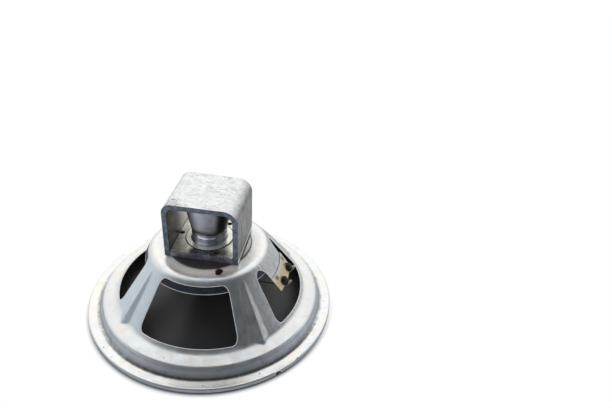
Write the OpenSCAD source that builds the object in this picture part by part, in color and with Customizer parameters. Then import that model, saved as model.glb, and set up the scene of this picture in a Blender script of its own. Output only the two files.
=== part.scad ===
// Twelve inch moving coil woofer with an open stamped basket and a U shaped magnet yoke.
// Millimetres. The speaker stands face down on its gasket: the gasket's front face is z = 0,
// the speaker axis is Z, and the magnet points up. The open side of the yoke faces -Y,
// and the terminals are on the +X side.

/* [Rim] */
// Overall diameter over the turned down lip
rim_d = 310; // [280:1:380]
// Height of the turned down lip
lip_h = 6.0; // [3:0.1:7]
// Width of the flat flange, from the rim to the foot of the wall
flange_w = 13.4; // [12:0.1:18]
// Thickness of the basket's sheet steel
sheet = 1.2; // [0.8:0.1:1.6]
// Length of the ledge pressed in the rim's edge
ledge_len = 33; // [15:1:45]
// How far the ledge goes in from the rim
ledge_w = 2.6; // [2.2:0.1:5]
// Depth of the ledge below the flange
ledge_drop = 0.8; // [0.4:0.1:0.8]

/* [Basket] */
// Height of the steep wall above the flange
wall_h = 12.3; // [8:0.1:20]
// How far the wall leans inwards
wall_run = 6.6; // [4:0.1:10]
// Width of the shoulder between the wall and the spokes
shoulder_run = 17.2; // [12:0.1:24]
// Rise of the shoulder over its width
shoulder_rise = 4.8; // [2:0.1:8]
// Height of the hub's top above the gasket's front face
hub_z = 92.3; // [80:0.1:115]
// Radius where the spokes would meet the hub's top with no rounding
hub_r = 71; // [66:0.5:85]
// Radius of the hole in the hub
hub_hole_r = 24; // [23:0.5:30]

/* [Windows] */
// Half the angle that one window spans
window_half = 31; // [24:0.5:36]
// Radius of a window's inner edge beyond the hub radius
window_in = 4.6; // [3:0.1:10]
// Radius of a window's outer edge short of the spoke's foot
window_out = 2.5; // [1:0.1:10]
// Corner radius of a window
window_corner = 7; // [3:0.5:12]
// Width of the raised rib on a spoke
rib_w = 19; // [10:0.5:24]
// Height of the rib at its outer end
rib_h = 4.2; // [2:0.1:6]

/* [Terminals] */
// Width of the terminal tongue at the hub
tongue_w = 55; // [40:1:64]
// How far the metal tongue reaches out, measured from the hub radius
tongue_len = 21; // [18:0.5:24]
// Thickness of the fibre terminal board
board_t = 1; // [0.6:0.1:2]
// Distance between the two terminals
terminal_gap = 26; // [16:0.5:32]
// Width of a solder lug
lug_w = 7; // [5:0.5:9]
// Angle by which the eye end of a lug is bent up from the board
lug_bend = 105; // [60:5:105]
// Radius of the hole in a solder lug
lug_hole_r = 1.6; // [0.8:0.1:2]

/* [Yoke] */
// Outer width of the yoke, 3 1/2 inches
yoke_w = 88.9; // [76:0.1:108]
// Width of the yoke's strap, 3 inches
yoke_depth = 76.2; // [60:0.1:92]
// Thickness of the yoke's strap, 1/4 inch
strap = 6.35; // [5:0.05:8]
// Height of the yoke from the foot of its legs to its back
yoke_h = 73.1; // [60:0.1:90]
// Outer radius of the yoke's left bend
bend_left_r = 12.5; // [9:0.1:18]
// Outer radius of the yoke's right bend
bend_right_r = 17; // [9:0.1:18]

/* [Magnet] */
// Thickness of the pole plate
plate_t = 8; // [6:0.1:12]
// Thickness of the round disc between the pole plate and the hub
disc_t = 2.2; // [1.5:0.1:4]
// Radius of the round disc
disc_r = 51.5; // [44:0.5:56]
// Radius of the magnet slug where it meets the yoke
slug_top_r = 30; // [24:0.1:31]
// Radius of the magnet slug above its rounded foot
slug_waist_r = 22.6; // [20:0.1:23.5]
// Radius of the magnet slug's foot on the pole
slug_foot_r = 17.8; // [15.5:0.1:18.2]
// Height of the magnet slug's rounded foot
slug_round_h = 4; // [2:0.5:6]
// Height of the bevel that keeps the slug's top clear of the strap's inner bends
slug_bevel_h = 0.8; // [0.7:0.1:2]
// Radius of the pole in the gap
pole_r = 18.4; // [15:0.1:18.5]
// Height of the pole above the pole plate
pole_rise = 16.1; // [15:0.1:26]
// Width of the magnetic gap between pole and plate
gap_w = 2; // [1.8:0.1:2.4]
// Outer radius of the centring can around the pole
can_r = 21.5; // [21.4:0.1:25]
// Radius of the can's flange on the pole plate
can_flange_r = 28.5; // [26:0.5:31]
// Distance of the plate rivets from the axis
rivet_circle_r = 34.5; // [33:0.5:34.5]
// Shank radius of the plate rivets
rivet_r = 1.9; // [1.5:0.1:2.4]

/* [Moving coil] */
// Half of the cone's full travel
travel = 4; // [1:0.5:4]
// Clearance between the coil former and the pole
coil_clear = 0.5; // [0.3:0.05:0.6]
// Wall of the coil former
former_t = 0.25; // [0.2:0.05:0.4]
// Thickness of the winding
winding_t = 0.6; // [0.4:0.05:0.7]
// Height of the winding
winding_h = 12; // [8:0.5:14]
// Depth of the cone from its rim to its neck
cone_h = 59; // [48:0.5:64]
// Thickness of the cone's paper
paper = 0.8; // [0.5:0.1:1.2]
// Radius of the dust cap
cap_r = 23; // [21.5:0.5:30]
// How far the dust cap bulges
cap_rise = 8.5; // [5:0.5:11]
// Distance of the lead eyelets from the axis
eyelet_circle_r = 32; // [32:0.5:45]

/* [Suspension] */
// Thickness of the gasket arcs
gasket_t = 6.7; // [5.5:0.1:9]
// Width of the gasket arcs
gasket_w = 11.4; // [8:0.1:12]
// Thickness of the surround
roll_t = 0.6; // [0.4:0.1:1]
// Width of the corrugated part of the surround
roll_w = 18.2; // [14:0.1:24]
// Height of a surround corrugation from its middle
roll_amp = 1.7; // [1:0.1:2]
// Number of surround corrugations
roll_n = 2; // [2:1:3]
// Number of spider corrugations
spider_n = 6; // [4:1:8]
// Height of a spider corrugation from its middle
spider_amp = 1.8; // [1:0.1:2.4]
// Height of the ring that holds the spider
ring_h = 7.5; // [4:0.1:9]
// Radial width of the ring that holds the spider
ring_w = 8; // [5:0.1:12]

/* [Hidden] */

ROUND = 120;
SMALL_ROUND = 36;
TOUCH = 0.05;
GLUE = 0.3;
OVER = 1;
LAP = 0.5;

rim_r = rim_d / 2;
flange_z = gasket_t + roll_t + sheet;
lip_z = flange_z - lip_h;
wall_foot_r = rim_r - flange_w;
wall_top_r = wall_foot_r - wall_run;
wall_top_z = flange_z + wall_h;
spoke_foot_r = wall_top_r - shoulder_run;
spoke_foot_z = wall_top_z + shoulder_rise;

// The spokes' outer surface is a cone through the spoke foot and the hub's edge.
spoke_run = spoke_foot_r - hub_r;
spoke_rise = hub_z - spoke_foot_z;
spoke_tilt = atan2(spoke_rise, spoke_run);
function spoke_z(r) = hub_z - (r - hub_r) * spoke_rise / spoke_run;

// Radius at the height z that lies just inside the spokes' sheet.
function under_r(z) = hub_r + (hub_z - z) * spoke_run / spoke_rise - (sheet + GLUE) / sin(spoke_tilt);

// Roundings of the basket's outline, from the rim to the hub
rim_round = 2;
foot_round = 3;
wall_round = 5;
shoulder_round = 9;
hub_round = 14;

window_in_r = hub_r + window_in;
window_out_r = spoke_foot_r - window_out;

plate_z = hub_z + disc_t;
plate_top = plate_z + plate_t;
yoke_top = plate_z + yoke_h;
slug_top = yoke_top - strap;
slug_seat_r = min(slug_top_r, yoke_w / 2 - max(bend_left_r, bend_right_r) - GLUE);
pole_top = plate_top + pole_rise;

former_in_r = pole_r + coil_clear;
former_out_r = former_in_r + former_t;
winding_r = former_out_r + TOUCH + winding_t;
coil_hole_r = pole_r + gap_w;
coil_mid = plate_z + plate_t / 2;
former_top = coil_mid + winding_h / 2 + 1;
can_room_z = former_top + travel + 1.2;

cone_lip_w = 3.6;
cone_r = wall_foot_r - roll_w - 0.6;
cone_z = gasket_t;
neck_r = former_out_r + TOUCH;
neck_z = cone_z + cone_h;
neck_h = 5;

// The spider ring's top lies where the straight spokes begin to round into the hub.
SPIDER_T = 0.5;
CLAMP_T = 0.8;
spider_ring_top = hub_z - hub_round * (1 - cos(spoke_tilt));
spider_ring_z = spider_ring_top - ring_h;
spider_z = spider_ring_z - SPIDER_T;
spider_out_r = under_r(spider_z);
spider_in_r = former_out_r + GLUE;

// Unit vector, and the vector turned a quarter left.
function unit(v) = v / norm(v);
function left_of(v) = [-v[1], v[0]] / norm(v);

// Points of the arc that rounds corner b between a and c with radius r.
function round_corner(a, b, c, r, n) =
    let (u = unit(a - b), w = unit(c - b), half = acos(u * w) / 2,
        mid = b + unit(u + w) * r / sin(half),
        from = b + u * r / tan(half) - mid, to = b + w * r / tan(half) - mid,
        a0 = atan2(from[1], from[0]), swing = atan2(to[1], to[0]) - a0,
        turn = swing > 180 ? swing - 360 : (swing < -180 ? swing + 360 : swing))
    [for (i = [0 : n]) mid + r * [cos(a0 + turn * i / n), sin(a0 + turn * i / n)]];

// An open path whose inner corners, given as [r, z, radius], are rounded.
function round_path(k, n) = [
    for (i = [0 : len(k) - 1])
        let (p = [k[i][0], k[i][1]])
        if (i == 0 || i == len(k) - 1 || k[i][2] == 0) p
        else each round_corner([k[i - 1][0], k[i - 1][1]], p, [k[i + 1][0], k[i + 1][1]], k[i][2], n)];

// The same path moved sideways by d, to the left of its direction.
function side_path(p, d) = [
    for (i = [0 : len(p) - 1])
        let (before = left_of(p[max(i, 1)] - p[max(i, 1) - 1]),
            after = left_of(p[min(i, len(p) - 2) + 1] - p[min(i, len(p) - 2)]),
            m = before + after)
        p[i] + m * 2 * d / (m * m)];

function reversed(p) = [for (i = [len(p) - 1 : -1 : 0]) p[i]];

// A turned sheet: the path is one face and the other lies d to its left.
module turned_sheet(p, d) {
    rotate_extrude($fn = ROUND)
        polygon(concat(p, reversed(side_path(p, d))));
}

module ring(r_in, r_out, z, h) {
    translate([0, 0, z])
        difference() {
            cylinder(r = r_out, h = h, $fn = ROUND);
            translate([0, 0, -OVER])
                cylinder(r = r_in, h = h + 2 * OVER, $fn = ROUND);
        }
}

function arc(r, from, to, n) = [
    for (i = [0 : n])
        let (a = from + (to - from) * i / n)
        r * [cos(a), sin(a)]];

// A sector between two radii with rounded corners, about the +X direction.
function sector_points(r_in, r_out, half, c) =
    let (out_a = half - asin(c / (r_out - c)), in_a = half - asin(c / (r_in + c)),
        out_c = r_out - c, in_c = r_in + c)
    concat(
        [for (p = arc(c, -half - 90, -out_a, 5)) out_c * [cos(out_a), -sin(out_a)] + p],
        arc(r_out, -out_a + 1, out_a - 1, 24),
        [for (p = arc(c, out_a, half + 90, 5)) out_c * [cos(out_a), sin(out_a)] + p],
        [for (p = arc(c, half + 90, in_a + 180, 5)) in_c * [cos(in_a), sin(in_a)] + p],
        arc(r_in, in_a - 1, -in_a + 1, 24),
        [for (p = arc(c, 180 - in_a, 270 - half, 5)) in_c * [cos(in_a), -sin(in_a)] + p]);

basket_path = round_path([
    [rim_r, lip_z, 0],
    [rim_r, flange_z, rim_round],
    [wall_foot_r, flange_z, foot_round],
    [wall_top_r, wall_top_z, wall_round],
    [spoke_foot_r, spoke_foot_z, shoulder_round],
    [hub_r, hub_z, hub_round],
    [hub_hole_r, hub_z, 0]], 6);

TONGUE_TAPER = 5;
tongue_root_r = hub_r - 12;
tongue_end_r = hub_r + tongue_len;
tongue_end_w = tongue_w - TONGUE_TAPER;

// Plan of the terminal tongue, from inside the hub to the tongue's end.
module tongue_plan(reach, side) {
    polygon([
        [tongue_root_r, -tongue_w / 2 - side],
        [reach, -tongue_end_w / 2 - side],
        [reach, tongue_end_w / 2 + side],
        [tongue_root_r, tongue_w / 2 + side]]);
}

// Sheet that rounds the window's corner between the hub and one side of the tongue.
tongue_lean = TONGUE_TAPER / 2 / (tongue_end_r - tongue_root_r);
WEB_LAP = 2;

module tongue_web(side) {
    line = tongue_w / 2 + tongue_lean * tongue_root_r;
    x = (tongue_lean * line + sqrt(pow(window_in_r, 2) * (1 + pow(tongue_lean, 2)) - pow(line, 2)))
        / (1 + pow(tongue_lean, 2));
    corner = [x, line - tongue_lean * x];
    on_hub = window_in_r * [cos(atan2(corner[1], x) + WEB_TURN), sin(atan2(corner[1], x) + WEB_TURN)];
    web = concat([corner - [WEB_LAP, WEB_LAP]],
        round_corner(on_hub, corner, corner + [1, -tongue_lean], window_corner, 6));
    polygon([for (p = web) [p[0], side * p[1]]]);
}

WEB_TURN = 5;

// Heights between which every cut through the spokes and the tongue runs
CUT_LOW = spoke_foot_z - 20;
CUT_H = spoke_rise + 40;

module window_cut() {
    translate([0, 0, CUT_LOW])
        linear_extrude(height = CUT_H)
            polygon(sector_points(window_in_r, window_out_r, window_half, window_corner));
}

// A roof shaped rib: its crest starts in the sheet by the hub and rises towards the shoulder,
// where it runs into the sheet. Dropped by the sheet's thickness it gives the hollow behind.
RIB_DROP = 1.2;
rib_start = hub_r + 4.2;
rib_past = rib_h / sin(spoke_tilt - atan2(shoulder_rise, shoulder_run));
rib_len = (spoke_foot_r - rib_start) / cos(spoke_tilt) + rib_past;

module rib_roof(drop) {
    sink = 0.5 * sheet;
    translate([rib_start, 0, spoke_z(rib_start)])
        rotate([0, spoke_tilt, 0])
            translate([0, 0, -drop])
                polyhedron(
                    points = [[0, 0, -0.3], [rib_len, 0, rib_h], [rib_len, -rib_w / 2, -sink],
                        [rib_len, rib_w / 2, -sink]],
                    faces = [[0, 1, 2], [0, 3, 1], [0, 2, 3], [1, 3, 2]]);
}

module on_spokes() {
    for (i = [0 : 3])
        rotate([0, 0, 45 + 90 * i])
            children();
}

module basket() {
    color("lightgray")
        difference() {
            union() {
                turned_sheet(basket_path, sheet);
                on_spokes()
                    rib_roof(0);
            }
            on_spokes()
                rib_roof(RIB_DROP * sheet);
            for (i = [1 : 3])
                rotate([0, 0, 90 * i])
                    window_cut();
            difference() {
                window_cut();
                translate([0, 0, CUT_LOW])
                    linear_extrude(height = CUT_H)
                        union() {
                            tongue_plan(tongue_end_r, 0);
                            tongue_web(-1);
                            tongue_web(1);
                        }
            }
            rim_ledge();
            rivet_holes(rivet_r + TOUCH);
            for (side = [-1, 1])
                on_tongue(side * board_rivet_turn, board_rivet_r, 0)
                    pin_cut(pin_r);
        }
}

// A hole for a pin through a thin sheet at the origin.
module pin_cut(r) {
    translate([0, 0, -PIN_REACH])
        cylinder(r = r + TOUCH, h = 2 * PIN_REACH, $fn = SMALL_ROUND);
}

// What the ledge in the rim's edge takes away, with the short break in the lip at its end.
LEDGE_TURN = -41;
lip_break = 8;
lip_cut_r = rim_r - sheet - 0.6;

module rim_ledge() {
    rotate([0, 0, LEDGE_TURN]) {
        translate([rim_r - ledge_w, -ledge_len / 2, flange_z - ledge_drop])
            cube([ledge_w + OVER, ledge_len, ledge_drop + OVER]);
        translate([lip_cut_r, -ledge_len / 2, lip_z - OVER])
            cube([rim_r - lip_cut_r + OVER, lip_break, lip_h + 2 * OVER]);
    }
}

// The parts on the tongue lie on the spoke cone, turned about the axis to their place.
// The board stands past the metal, so that the lugs' eyelets clear it.
BOARD_LAP = 5;
BOARD_PAST = 6.4;
BOARD_SIDE = 0.8;
RIVET_EDGE = 6.5;
terminal_r = tongue_end_r + BOARD_PAST / 2;
terminal_turn = asin(terminal_gap / 2 / terminal_r);
board_in_r = tongue_end_r - BOARD_LAP;
board_out_r = tongue_end_r + BOARD_PAST;
board_rivet_r = tongue_end_r - BOARD_LAP / 2;
board_rivet_turn = asin((tongue_end_w / 2 - RIVET_EDGE) / board_rivet_r);
PIN_REACH = 4;
pin_r = 1.5;
head_r = pin_r + 1.1;
head_h = 0.9;
HEAD_CHAMFER = 0.7;

// Offset square to the spoke cone, outwards.
function skin_out(d) = d * [sin(spoke_tilt), cos(spoke_tilt)];

module on_tongue(turn, r, up) {
    rotate([0, 0, turn])
        translate([r, 0, spoke_z(r)])
            rotate([0, spoke_tilt, 0])
                translate([0, 0, up])
                    children();
}

module terminal_board() {
    color("burlywood")
        difference() {
            intersection() {
                turned_sheet([
                    [board_out_r, spoke_z(board_out_r)] + skin_out(TOUCH + board_t),
                    [board_in_r, spoke_z(board_in_r)] + skin_out(TOUCH + board_t)], board_t);
                translate([0, 0, CUT_LOW])
                    linear_extrude(height = CUT_H)
                        tongue_plan(board_out_r + OVER, BOARD_SIDE);
            }
            for (side = [-1, 1]) {
                on_tongue(side * board_rivet_turn, board_rivet_r, 0)
                    pin_cut(pin_r);
                on_tongue(side * terminal_turn, terminal_r, 0)
                    pin_cut(pin_r);
            }
        }
}

// A rivet through a stack that reaches from the height low to the height high.
module rivet(low, high) {
    translate([0, 0, low - head_h])
        cylinder(r1 = head_r - HEAD_CHAMFER, r2 = head_r, h = head_h, $fn = SMALL_ROUND);
    translate([0, 0, low - LAP])
        cylinder(r = pin_r, h = high - low + 2 * LAP, $fn = SMALL_ROUND);
    translate([0, 0, high])
        cylinder(r1 = head_r, r2 = head_r - HEAD_CHAMFER, h = head_h, $fn = SMALL_ROUND);
}

lug_t = 0.6;
board_top = TOUCH + board_t;
HEAD_GAP = 0.2;
lug_z = board_top + HEAD_GAP + TOUCH;

// Two rivets hold the board on the metal tongue.
module board_rivets() {
    color("saddlebrown")
        for (side = [-1, 1])
            on_tongue(side * board_rivet_turn, board_rivet_r, 0)
                rivet(-sheet - TOUCH, board_top + HEAD_GAP);
}

// Two eyelets hold the lugs on the board, past the metal's end.
module lug_rivets() {
    color("silver")
        for (side = [-1, 1])
            on_tongue(side * terminal_turn, terminal_r, 0)
                rivet(-HEAD_GAP, lug_z + lug_t + TOUCH);
}

// The lump that covers an eyelet
joint_r = 5.2;
joint_h = 4.2;

// A lug bends up past the board's edge and past its lump.
lug_bend_x = max((board_out_r - terminal_r) / cos(spoke_tilt) + 1.2,
    joint_r + lug_t * tan(lug_bend / 2) + TOUCH);
lug_eye_up = 7;

// Places something on the bent up end of a lug, at the height up from the bend.
module on_lug_end(up) {
    translate([lug_bend_x, 0, 0])
        rotate([0, -lug_bend, 0])
            translate([up, 0, 0])
                children();
}

// The room that a lug fills: all below its eye's middle, and a round end above it.
module lug_reach() {
    on_lug_end(-LUG_ROOM)
        translate([0, -lug_w, -LUG_ROOM])
            cube([LUG_ROOM + lug_eye_up, 2 * lug_w, 2 * LUG_ROOM]);
    on_lug_end(lug_eye_up)
        translate([0, 0, -LUG_ROOM])
            cylinder(r = lug_w / 2, h = 2 * LUG_ROOM, $fn = SMALL_ROUND);
}

LUG_ROOM = 20;

// A tinned tab: it lies on the board under the eyelet, and past the board's edge its eye end is bent up.
module lug() {
    end = [lug_bend_x, 0] + (lug_eye_up + lug_w) * [cos(lug_bend), sin(lug_bend)];
    in_corner = [lug_bend_x - lug_t * tan(lug_bend / 2), lug_t];
    difference() {
        union() {
            cylinder(r = lug_w / 2 + 0.8, h = lug_t, $fn = SMALL_ROUND);
            intersection() {
                translate([0, lug_w / 2, 0])
                    rotate([90, 0, 0])
                        linear_extrude(height = lug_w)
                            polygon([[0, 0], [lug_bend_x, 0], end,
                                end + lug_t * [-sin(lug_bend), cos(lug_bend)], in_corner, [0, lug_t]]);
                lug_reach();
            }
        }
        on_lug_end(lug_eye_up)
            translate([0, 0, -OVER])
                cylinder(r = lug_hole_r, h = lug_t + 2 * OVER, $fn = SMALL_ROUND);
        translate([0, 0, -OVER])
            cylinder(r = pin_r + TOUCH, h = lug_t + 2 * OVER, $fn = SMALL_ROUND);
    }
}

module solder_lugs() {
    color("gainsboro")
        for (side = [-1, 1])
            on_tongue(side * terminal_turn, terminal_r, lug_z)
                lug();
}

// The lump of black varnish that covers each eyelet, hollow where the eyelet's head is.
module solder_joints() {
    room_r = head_r + TOUCH;
    room_h = head_h + 2 * TOUCH;
    color("black")
        for (side = [-1, 1])
            on_tongue(side * terminal_turn, terminal_r, lug_z + lug_t + TOUCH)
                rotate_extrude($fn = SMALL_ROUND)
                    polygon(concat([[0, room_h], [room_r, room_h], [room_r, 0]],
                        [for (a = [0 : 15 : 90]) [joint_r * cos(a), joint_h * sin(a)]]));
}

// Middles of the four arcs, and the gap that ends each of them. The last gap is under the ledge.
GASKET_MID = [4, 94, 184, 274];
GASKET_GAP = [10, 10, 20, 20];

// Each arc ends square, half a gap away from the gap's middle.
module gasket_arc(i) {
    out_r = rim_r - sheet - 0.4;
    in_r = out_r - gasket_w;
    color("sandybrown")
        difference() {
            ring(in_r, out_r, 0, gasket_t);
            for (side = [-1, 1])
                let (y = side > 0 ? -GASKET_GAP[i] / 2 : GASKET_GAP[(i + 3) % 4] / 2 - 2 * rim_r)
                rotate([0, 0, GASKET_MID[i] + side * 45])
                    translate([0, y, -OVER])
                        cube([2 * rim_r, 2 * rim_r, gasket_t + 2 * OVER]);
            rotate([0, 0, GASKET_MID[i] + 180])
                translate([0, -2 * rim_r, -OVER])
                    cube([2 * rim_r, 4 * rim_r, gasket_t + 2 * OVER]);
        }
}

module gasket_1() {
    gasket_arc(0);
}

module gasket_2() {
    gasket_arc(1);
}

module gasket_3() {
    gasket_arc(2);
}

module gasket_4() {
    gasket_arc(3);
}

// Flat rim under the flange, corrugations, and a flat inner edge on the cone's lip.
surround_out_r = rim_r - 6.2;
roll_out_r = wall_foot_r - 0.6;
surround_path = concat(
    [[cone_r - cone_lip_w, cone_z]],
    [for (i = [0 : 10 * roll_n])
        let (s = i / (10 * roll_n))
        [cone_r + (roll_out_r - cone_r) * s, cone_z - roll_amp * sin(360 * roll_n * s)]],
    [[surround_out_r, cone_z]]);

module surround() {
    color([0.08, 0.08, 0.08])
        turned_sheet(surround_path, roll_t);
}

// The cone falls straight from its lip and steepens towards the neck.
BODY_STEPS = 12;
STRAIGHT = 0.8;
cone_body_r = cone_r - cone_lip_w;
function cone_u(r) = (cone_body_r - r) / (cone_body_r - neck_r);
function cone_back_z(r) = cone_z + cone_h * (STRAIGHT * cone_u(r) + (1 - STRAIGHT) * pow(cone_u(r), 2));
function cone_tilt(r) = atan(cone_h * (STRAIGHT + 2 * (1 - STRAIGHT) * cone_u(r)) / (cone_body_r - neck_r));
function cone_front_z(r) = cone_back_z(r) - paper / cos(cone_tilt(r));
cone_steps = [for (i = [0 : BODY_STEPS]) cone_body_r + (neck_r - cone_body_r) * i / BODY_STEPS];

module cone() {
    color([0.12, 0.12, 0.13])
        difference() {
            union() {
                rotate_extrude($fn = ROUND)
                    polygon(concat(
                        [[cone_r, cone_z]],
                        [for (r = cone_steps) [r, cone_back_z(r)]],
                        [for (r = reversed(cone_steps)) [r, cone_front_z(r)]],
                        [[cone_r, cone_z - paper]]));
                ring(neck_r, neck_r + paper, neck_z - LAP, neck_h + LAP);
            }
            for (side = [-1, 1])
                on_cone(side)
                    pin_cut(eyelet_pin_r);
        }
}

eyelet_pin_r = 1.3;
eyelet_head_r = 2.3;
eyelet_edge_r = 1.7;
eyelet_head_h = 0.8;
EYELET_TURN = 22.5;

// A place on the back of the cone, square to its paper.
module on_cone(side) {
    rotate([0, 0, side * EYELET_TURN])
        translate([eyelet_circle_r, 0, cone_back_z(eyelet_circle_r)])
            rotate([0, cone_tilt(eyelet_circle_r), 0])
                children();
}

module cone_eyelets() {
    color("goldenrod")
        for (side = [-1, 1])
            on_cone(side)
                union() {
                    translate([0, 0, TOUCH])
                        cylinder(r1 = eyelet_head_r, r2 = eyelet_edge_r, h = eyelet_head_h,
                            $fn = SMALL_ROUND);
                    translate([0, 0, -paper - LAP])
                        cylinder(r = eyelet_pin_r, h = paper + 2 * LAP, $fn = SMALL_ROUND);
                    translate([0, 0, -paper - TOUCH - eyelet_head_h])
                        cylinder(r1 = eyelet_edge_r, r2 = eyelet_head_r, h = eyelet_head_h,
                            $fn = SMALL_ROUND);
                }
}

// A spherical shell whose rim lies just in front of the cone's paper.
cap_t = 0.7 * paper;
cap_z = cone_front_z(cap_r) - cap_t;
cap_ball_r = (cap_r * cap_r + cap_rise * cap_rise) / (2 * cap_rise);
cap_open = asin(cap_r / cap_ball_r);
CAP_TAPER = 0.015;
cap_path = [for (i = [0 : 10])
    let (a = cap_open * (1 - i / 10))
    [cap_ball_r * sin(a), cap_z + cap_ball_r * cos(cap_open) - cap_ball_r * cos(a)]];

module dust_cap() {
    color([0.1, 0.1, 0.1])
        rotate_extrude($fn = ROUND)
            polygon(concat(cap_path, [for (p = reversed(cap_path)) [p[0] * (1 - CAP_TAPER), p[1] + cap_t]]));
}

module coil_former() {
    color("tan")
        ring(former_in_r, former_out_r, neck_z - LAP, former_top - neck_z + LAP);
}

module voice_coil() {
    color("chocolate")
        ring(former_out_r + TOUCH, winding_r, coil_mid - winding_h / 2, winding_h);
}

spider_roll_out = spider_out_r - ring_w - 1;
spider_roll_in = spider_in_r + 3;
spider_path = concat(
    [[spider_out_r - GLUE, spider_z]],
    [for (i = [0 : 8 * spider_n])
        let (s = i / (8 * spider_n), r = spider_roll_out + (spider_roll_in - spider_roll_out) * s)
        [r, spider_z + spider_amp * sin(360 * spider_n * s)]],
    [[spider_in_r + SPIDER_T, spider_z], [spider_in_r + SPIDER_T, spider_z + 3]]);

module spider() {
    color("darkgoldenrod")
        turned_sheet(spider_path, -SPIDER_T);
}

// The ring's outer wall leans with the spokes, so it fits under them and shows in the windows.
module spider_ring() {
    color("midnightblue")
        rotate_extrude($fn = ROUND)
            polygon([[spider_out_r - ring_w, spider_ring_z], [under_r(spider_ring_z), spider_ring_z],
                [under_r(spider_ring_top), spider_ring_top], [spider_out_r - ring_w, spider_ring_top]]);
}

module spider_clamp() {
    color("silver")
        ring(spider_out_r - ring_w, spider_out_r, spider_z - CLAMP_T, CLAMP_T);
}

module hub_disc() {
    color("dimgray")
        difference() {
            ring(hub_hole_r, disc_r, hub_z, disc_t);
            rivet_holes(rivet_r + TOUCH);
        }
}

module at_rivets() {
    for (i = [0 : 2])
        rotate([0, 0, 60 + 120 * i])
            translate([rivet_circle_r, 0, 0])
                children();
}

module rivet_holes(r) {
    at_rivets()
        translate([0, 0, hub_z - sheet - OVER])
            cylinder(r = r, h = sheet + plate_t + disc_t + 2 * OVER, $fn = SMALL_ROUND);
}

rivet_head_r = rivet_r + 1;
rivet_head_h = 1.4;
rivet_sink = 4;
rivet_chamfer = 0.7;
rivet_head_gap = 0.2;

module pole_plate() {
    color("silver")
        difference() {
            translate([-yoke_w / 2 + strap, -yoke_depth / 2, plate_z])
                cube([yoke_w - 2 * strap, yoke_depth, plate_t]);
            translate([0, 0, plate_z - OVER])
                cylinder(r = coil_hole_r, h = plate_t + 2 * OVER, $fn = ROUND);
            rivet_holes(rivet_r + TOUCH);
            at_rivets()
                translate([0, 0, plate_top - rivet_sink])
                    cylinder(r = rivet_head_r + rivet_head_gap, h = rivet_sink + OVER, $fn = SMALL_ROUND);
        }
}

// Three rivets hold the plate, the disc and the hub together; their heads are sunk in the plate.
module plate_rivets() {
    low = hub_z - sheet;
    high = plate_top - rivet_sink;
    color("dimgray")
        at_rivets()
            union() {
                translate([0, 0, high])
                    cylinder(r1 = rivet_head_r, r2 = rivet_head_r - rivet_chamfer, h = rivet_head_h,
                        $fn = SMALL_ROUND);
                translate([0, 0, low - LAP])
                    cylinder(r = rivet_r, h = high - low + 2 * LAP, $fn = SMALL_ROUND);
                translate([0, 0, low - rivet_head_h])
                    cylinder(r1 = rivet_head_r - rivet_chamfer, r2 = rivet_head_r, h = rivet_head_h,
                        $fn = SMALL_ROUND);
            }
}

// Plan of a strap bent twice: a plate with two corners rounded by the radii left and right.
module bent_plan(w, h, left, right) {
    polygon(concat(
        [[-w / 2, 0], [w / 2, 0]],
        [for (p = arc(right, 0, 90, BEND_STEPS)) [w / 2 - right, h - right] + p],
        [for (p = arc(left, 90, 180, BEND_STEPS)) [left - w / 2, h - left] + p]));
}

BEND_STEPS = 24;

module yoke() {
    color("slategray")
        translate([0, yoke_depth / 2, plate_z])
            rotate([90, 0, 0])
                linear_extrude(height = yoke_depth)
                    difference() {
                        bent_plan(yoke_w, yoke_h, bend_left_r, bend_right_r);
                        translate([0, -OVER])
                            bent_plan(yoke_w - 2 * strap, yoke_h - strap + OVER,
                                bend_left_r - strap, bend_right_r - strap);
                    }
}

module magnet_slug() {
    color([0.25, 0.26, 0.29])
        translate([0, 0, pole_top])
            rotate_extrude($fn = ROUND)
                polygon(concat(
                    [[0, slug_top - pole_top], [0, 0]],
                    [for (a = [0 : 15 : 90])
                        [slug_foot_r + (slug_waist_r - slug_foot_r) * sin(a), slug_round_h * (1 - cos(a))]],
                    [[slug_top_r, slug_top - pole_top - slug_bevel_h], [slug_seat_r, slug_top - pole_top]]));
}

pole_head_h = 0.6;
pole_head_r = pole_r + 0.4;
pole_foot_z = plate_z - 0.5;

module pole_piece() {
    color("lightsteelblue")
        union() {
            translate([0, 0, pole_foot_z])
                cylinder(r = pole_r, h = pole_top - pole_foot_z, $fn = ROUND);
            translate([0, 0, pole_top - pole_head_h])
                cylinder(r = pole_head_r, h = pole_head_h, $fn = ROUND);
        }
}

// A thin can of non magnetic metal grips the pole above and stands on the plate below.
// It is wide inside near the plate, so that the coil can rise into it.
module centring_can() {
    can_top = pole_top - pole_head_h;
    can_foot_r = coil_hole_r + 0.1;
    can_out = max(can_r, coil_hole_r + 1);
    flange_top = plate_top + can_sheet;
    color("whitesmoke")
        rotate_extrude($fn = ROUND)
            polygon(concat(
                [[can_foot_r, plate_top], [can_flange_r, plate_top], [can_flange_r, flange_top],
                    [can_out + can_bend, flange_top], [can_out, flange_top + can_bend]],
                can_groove(can_out, flange_top + can_groove_low),
                can_groove(can_out, can_top - can_groove_high),
                [[can_out, can_top], [pole_r + TOUCH, can_top], [pole_r + TOUCH, can_room_z],
                    [can_foot_r, can_room_z]]));
}

can_sheet = 0.8;
can_bend = 1.2;
can_groove_low = 3.8;
can_groove_high = 2;

// Three points of a groove with its middle at the height z.
function can_groove(r, z) = [[r, z - 0.4], [r - 0.5, z], [r, z + 0.4]];

// A flexible lead hangs from the underside of a lug's eyelet to an eyelet on the cone's back.
WIRE_R = 0.8;
WIRE_SIDES = 8;
WIRE_RINGS = 26;
wire_rise = 10;
wire_drop = 14;
wire_sag = 10;

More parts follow.
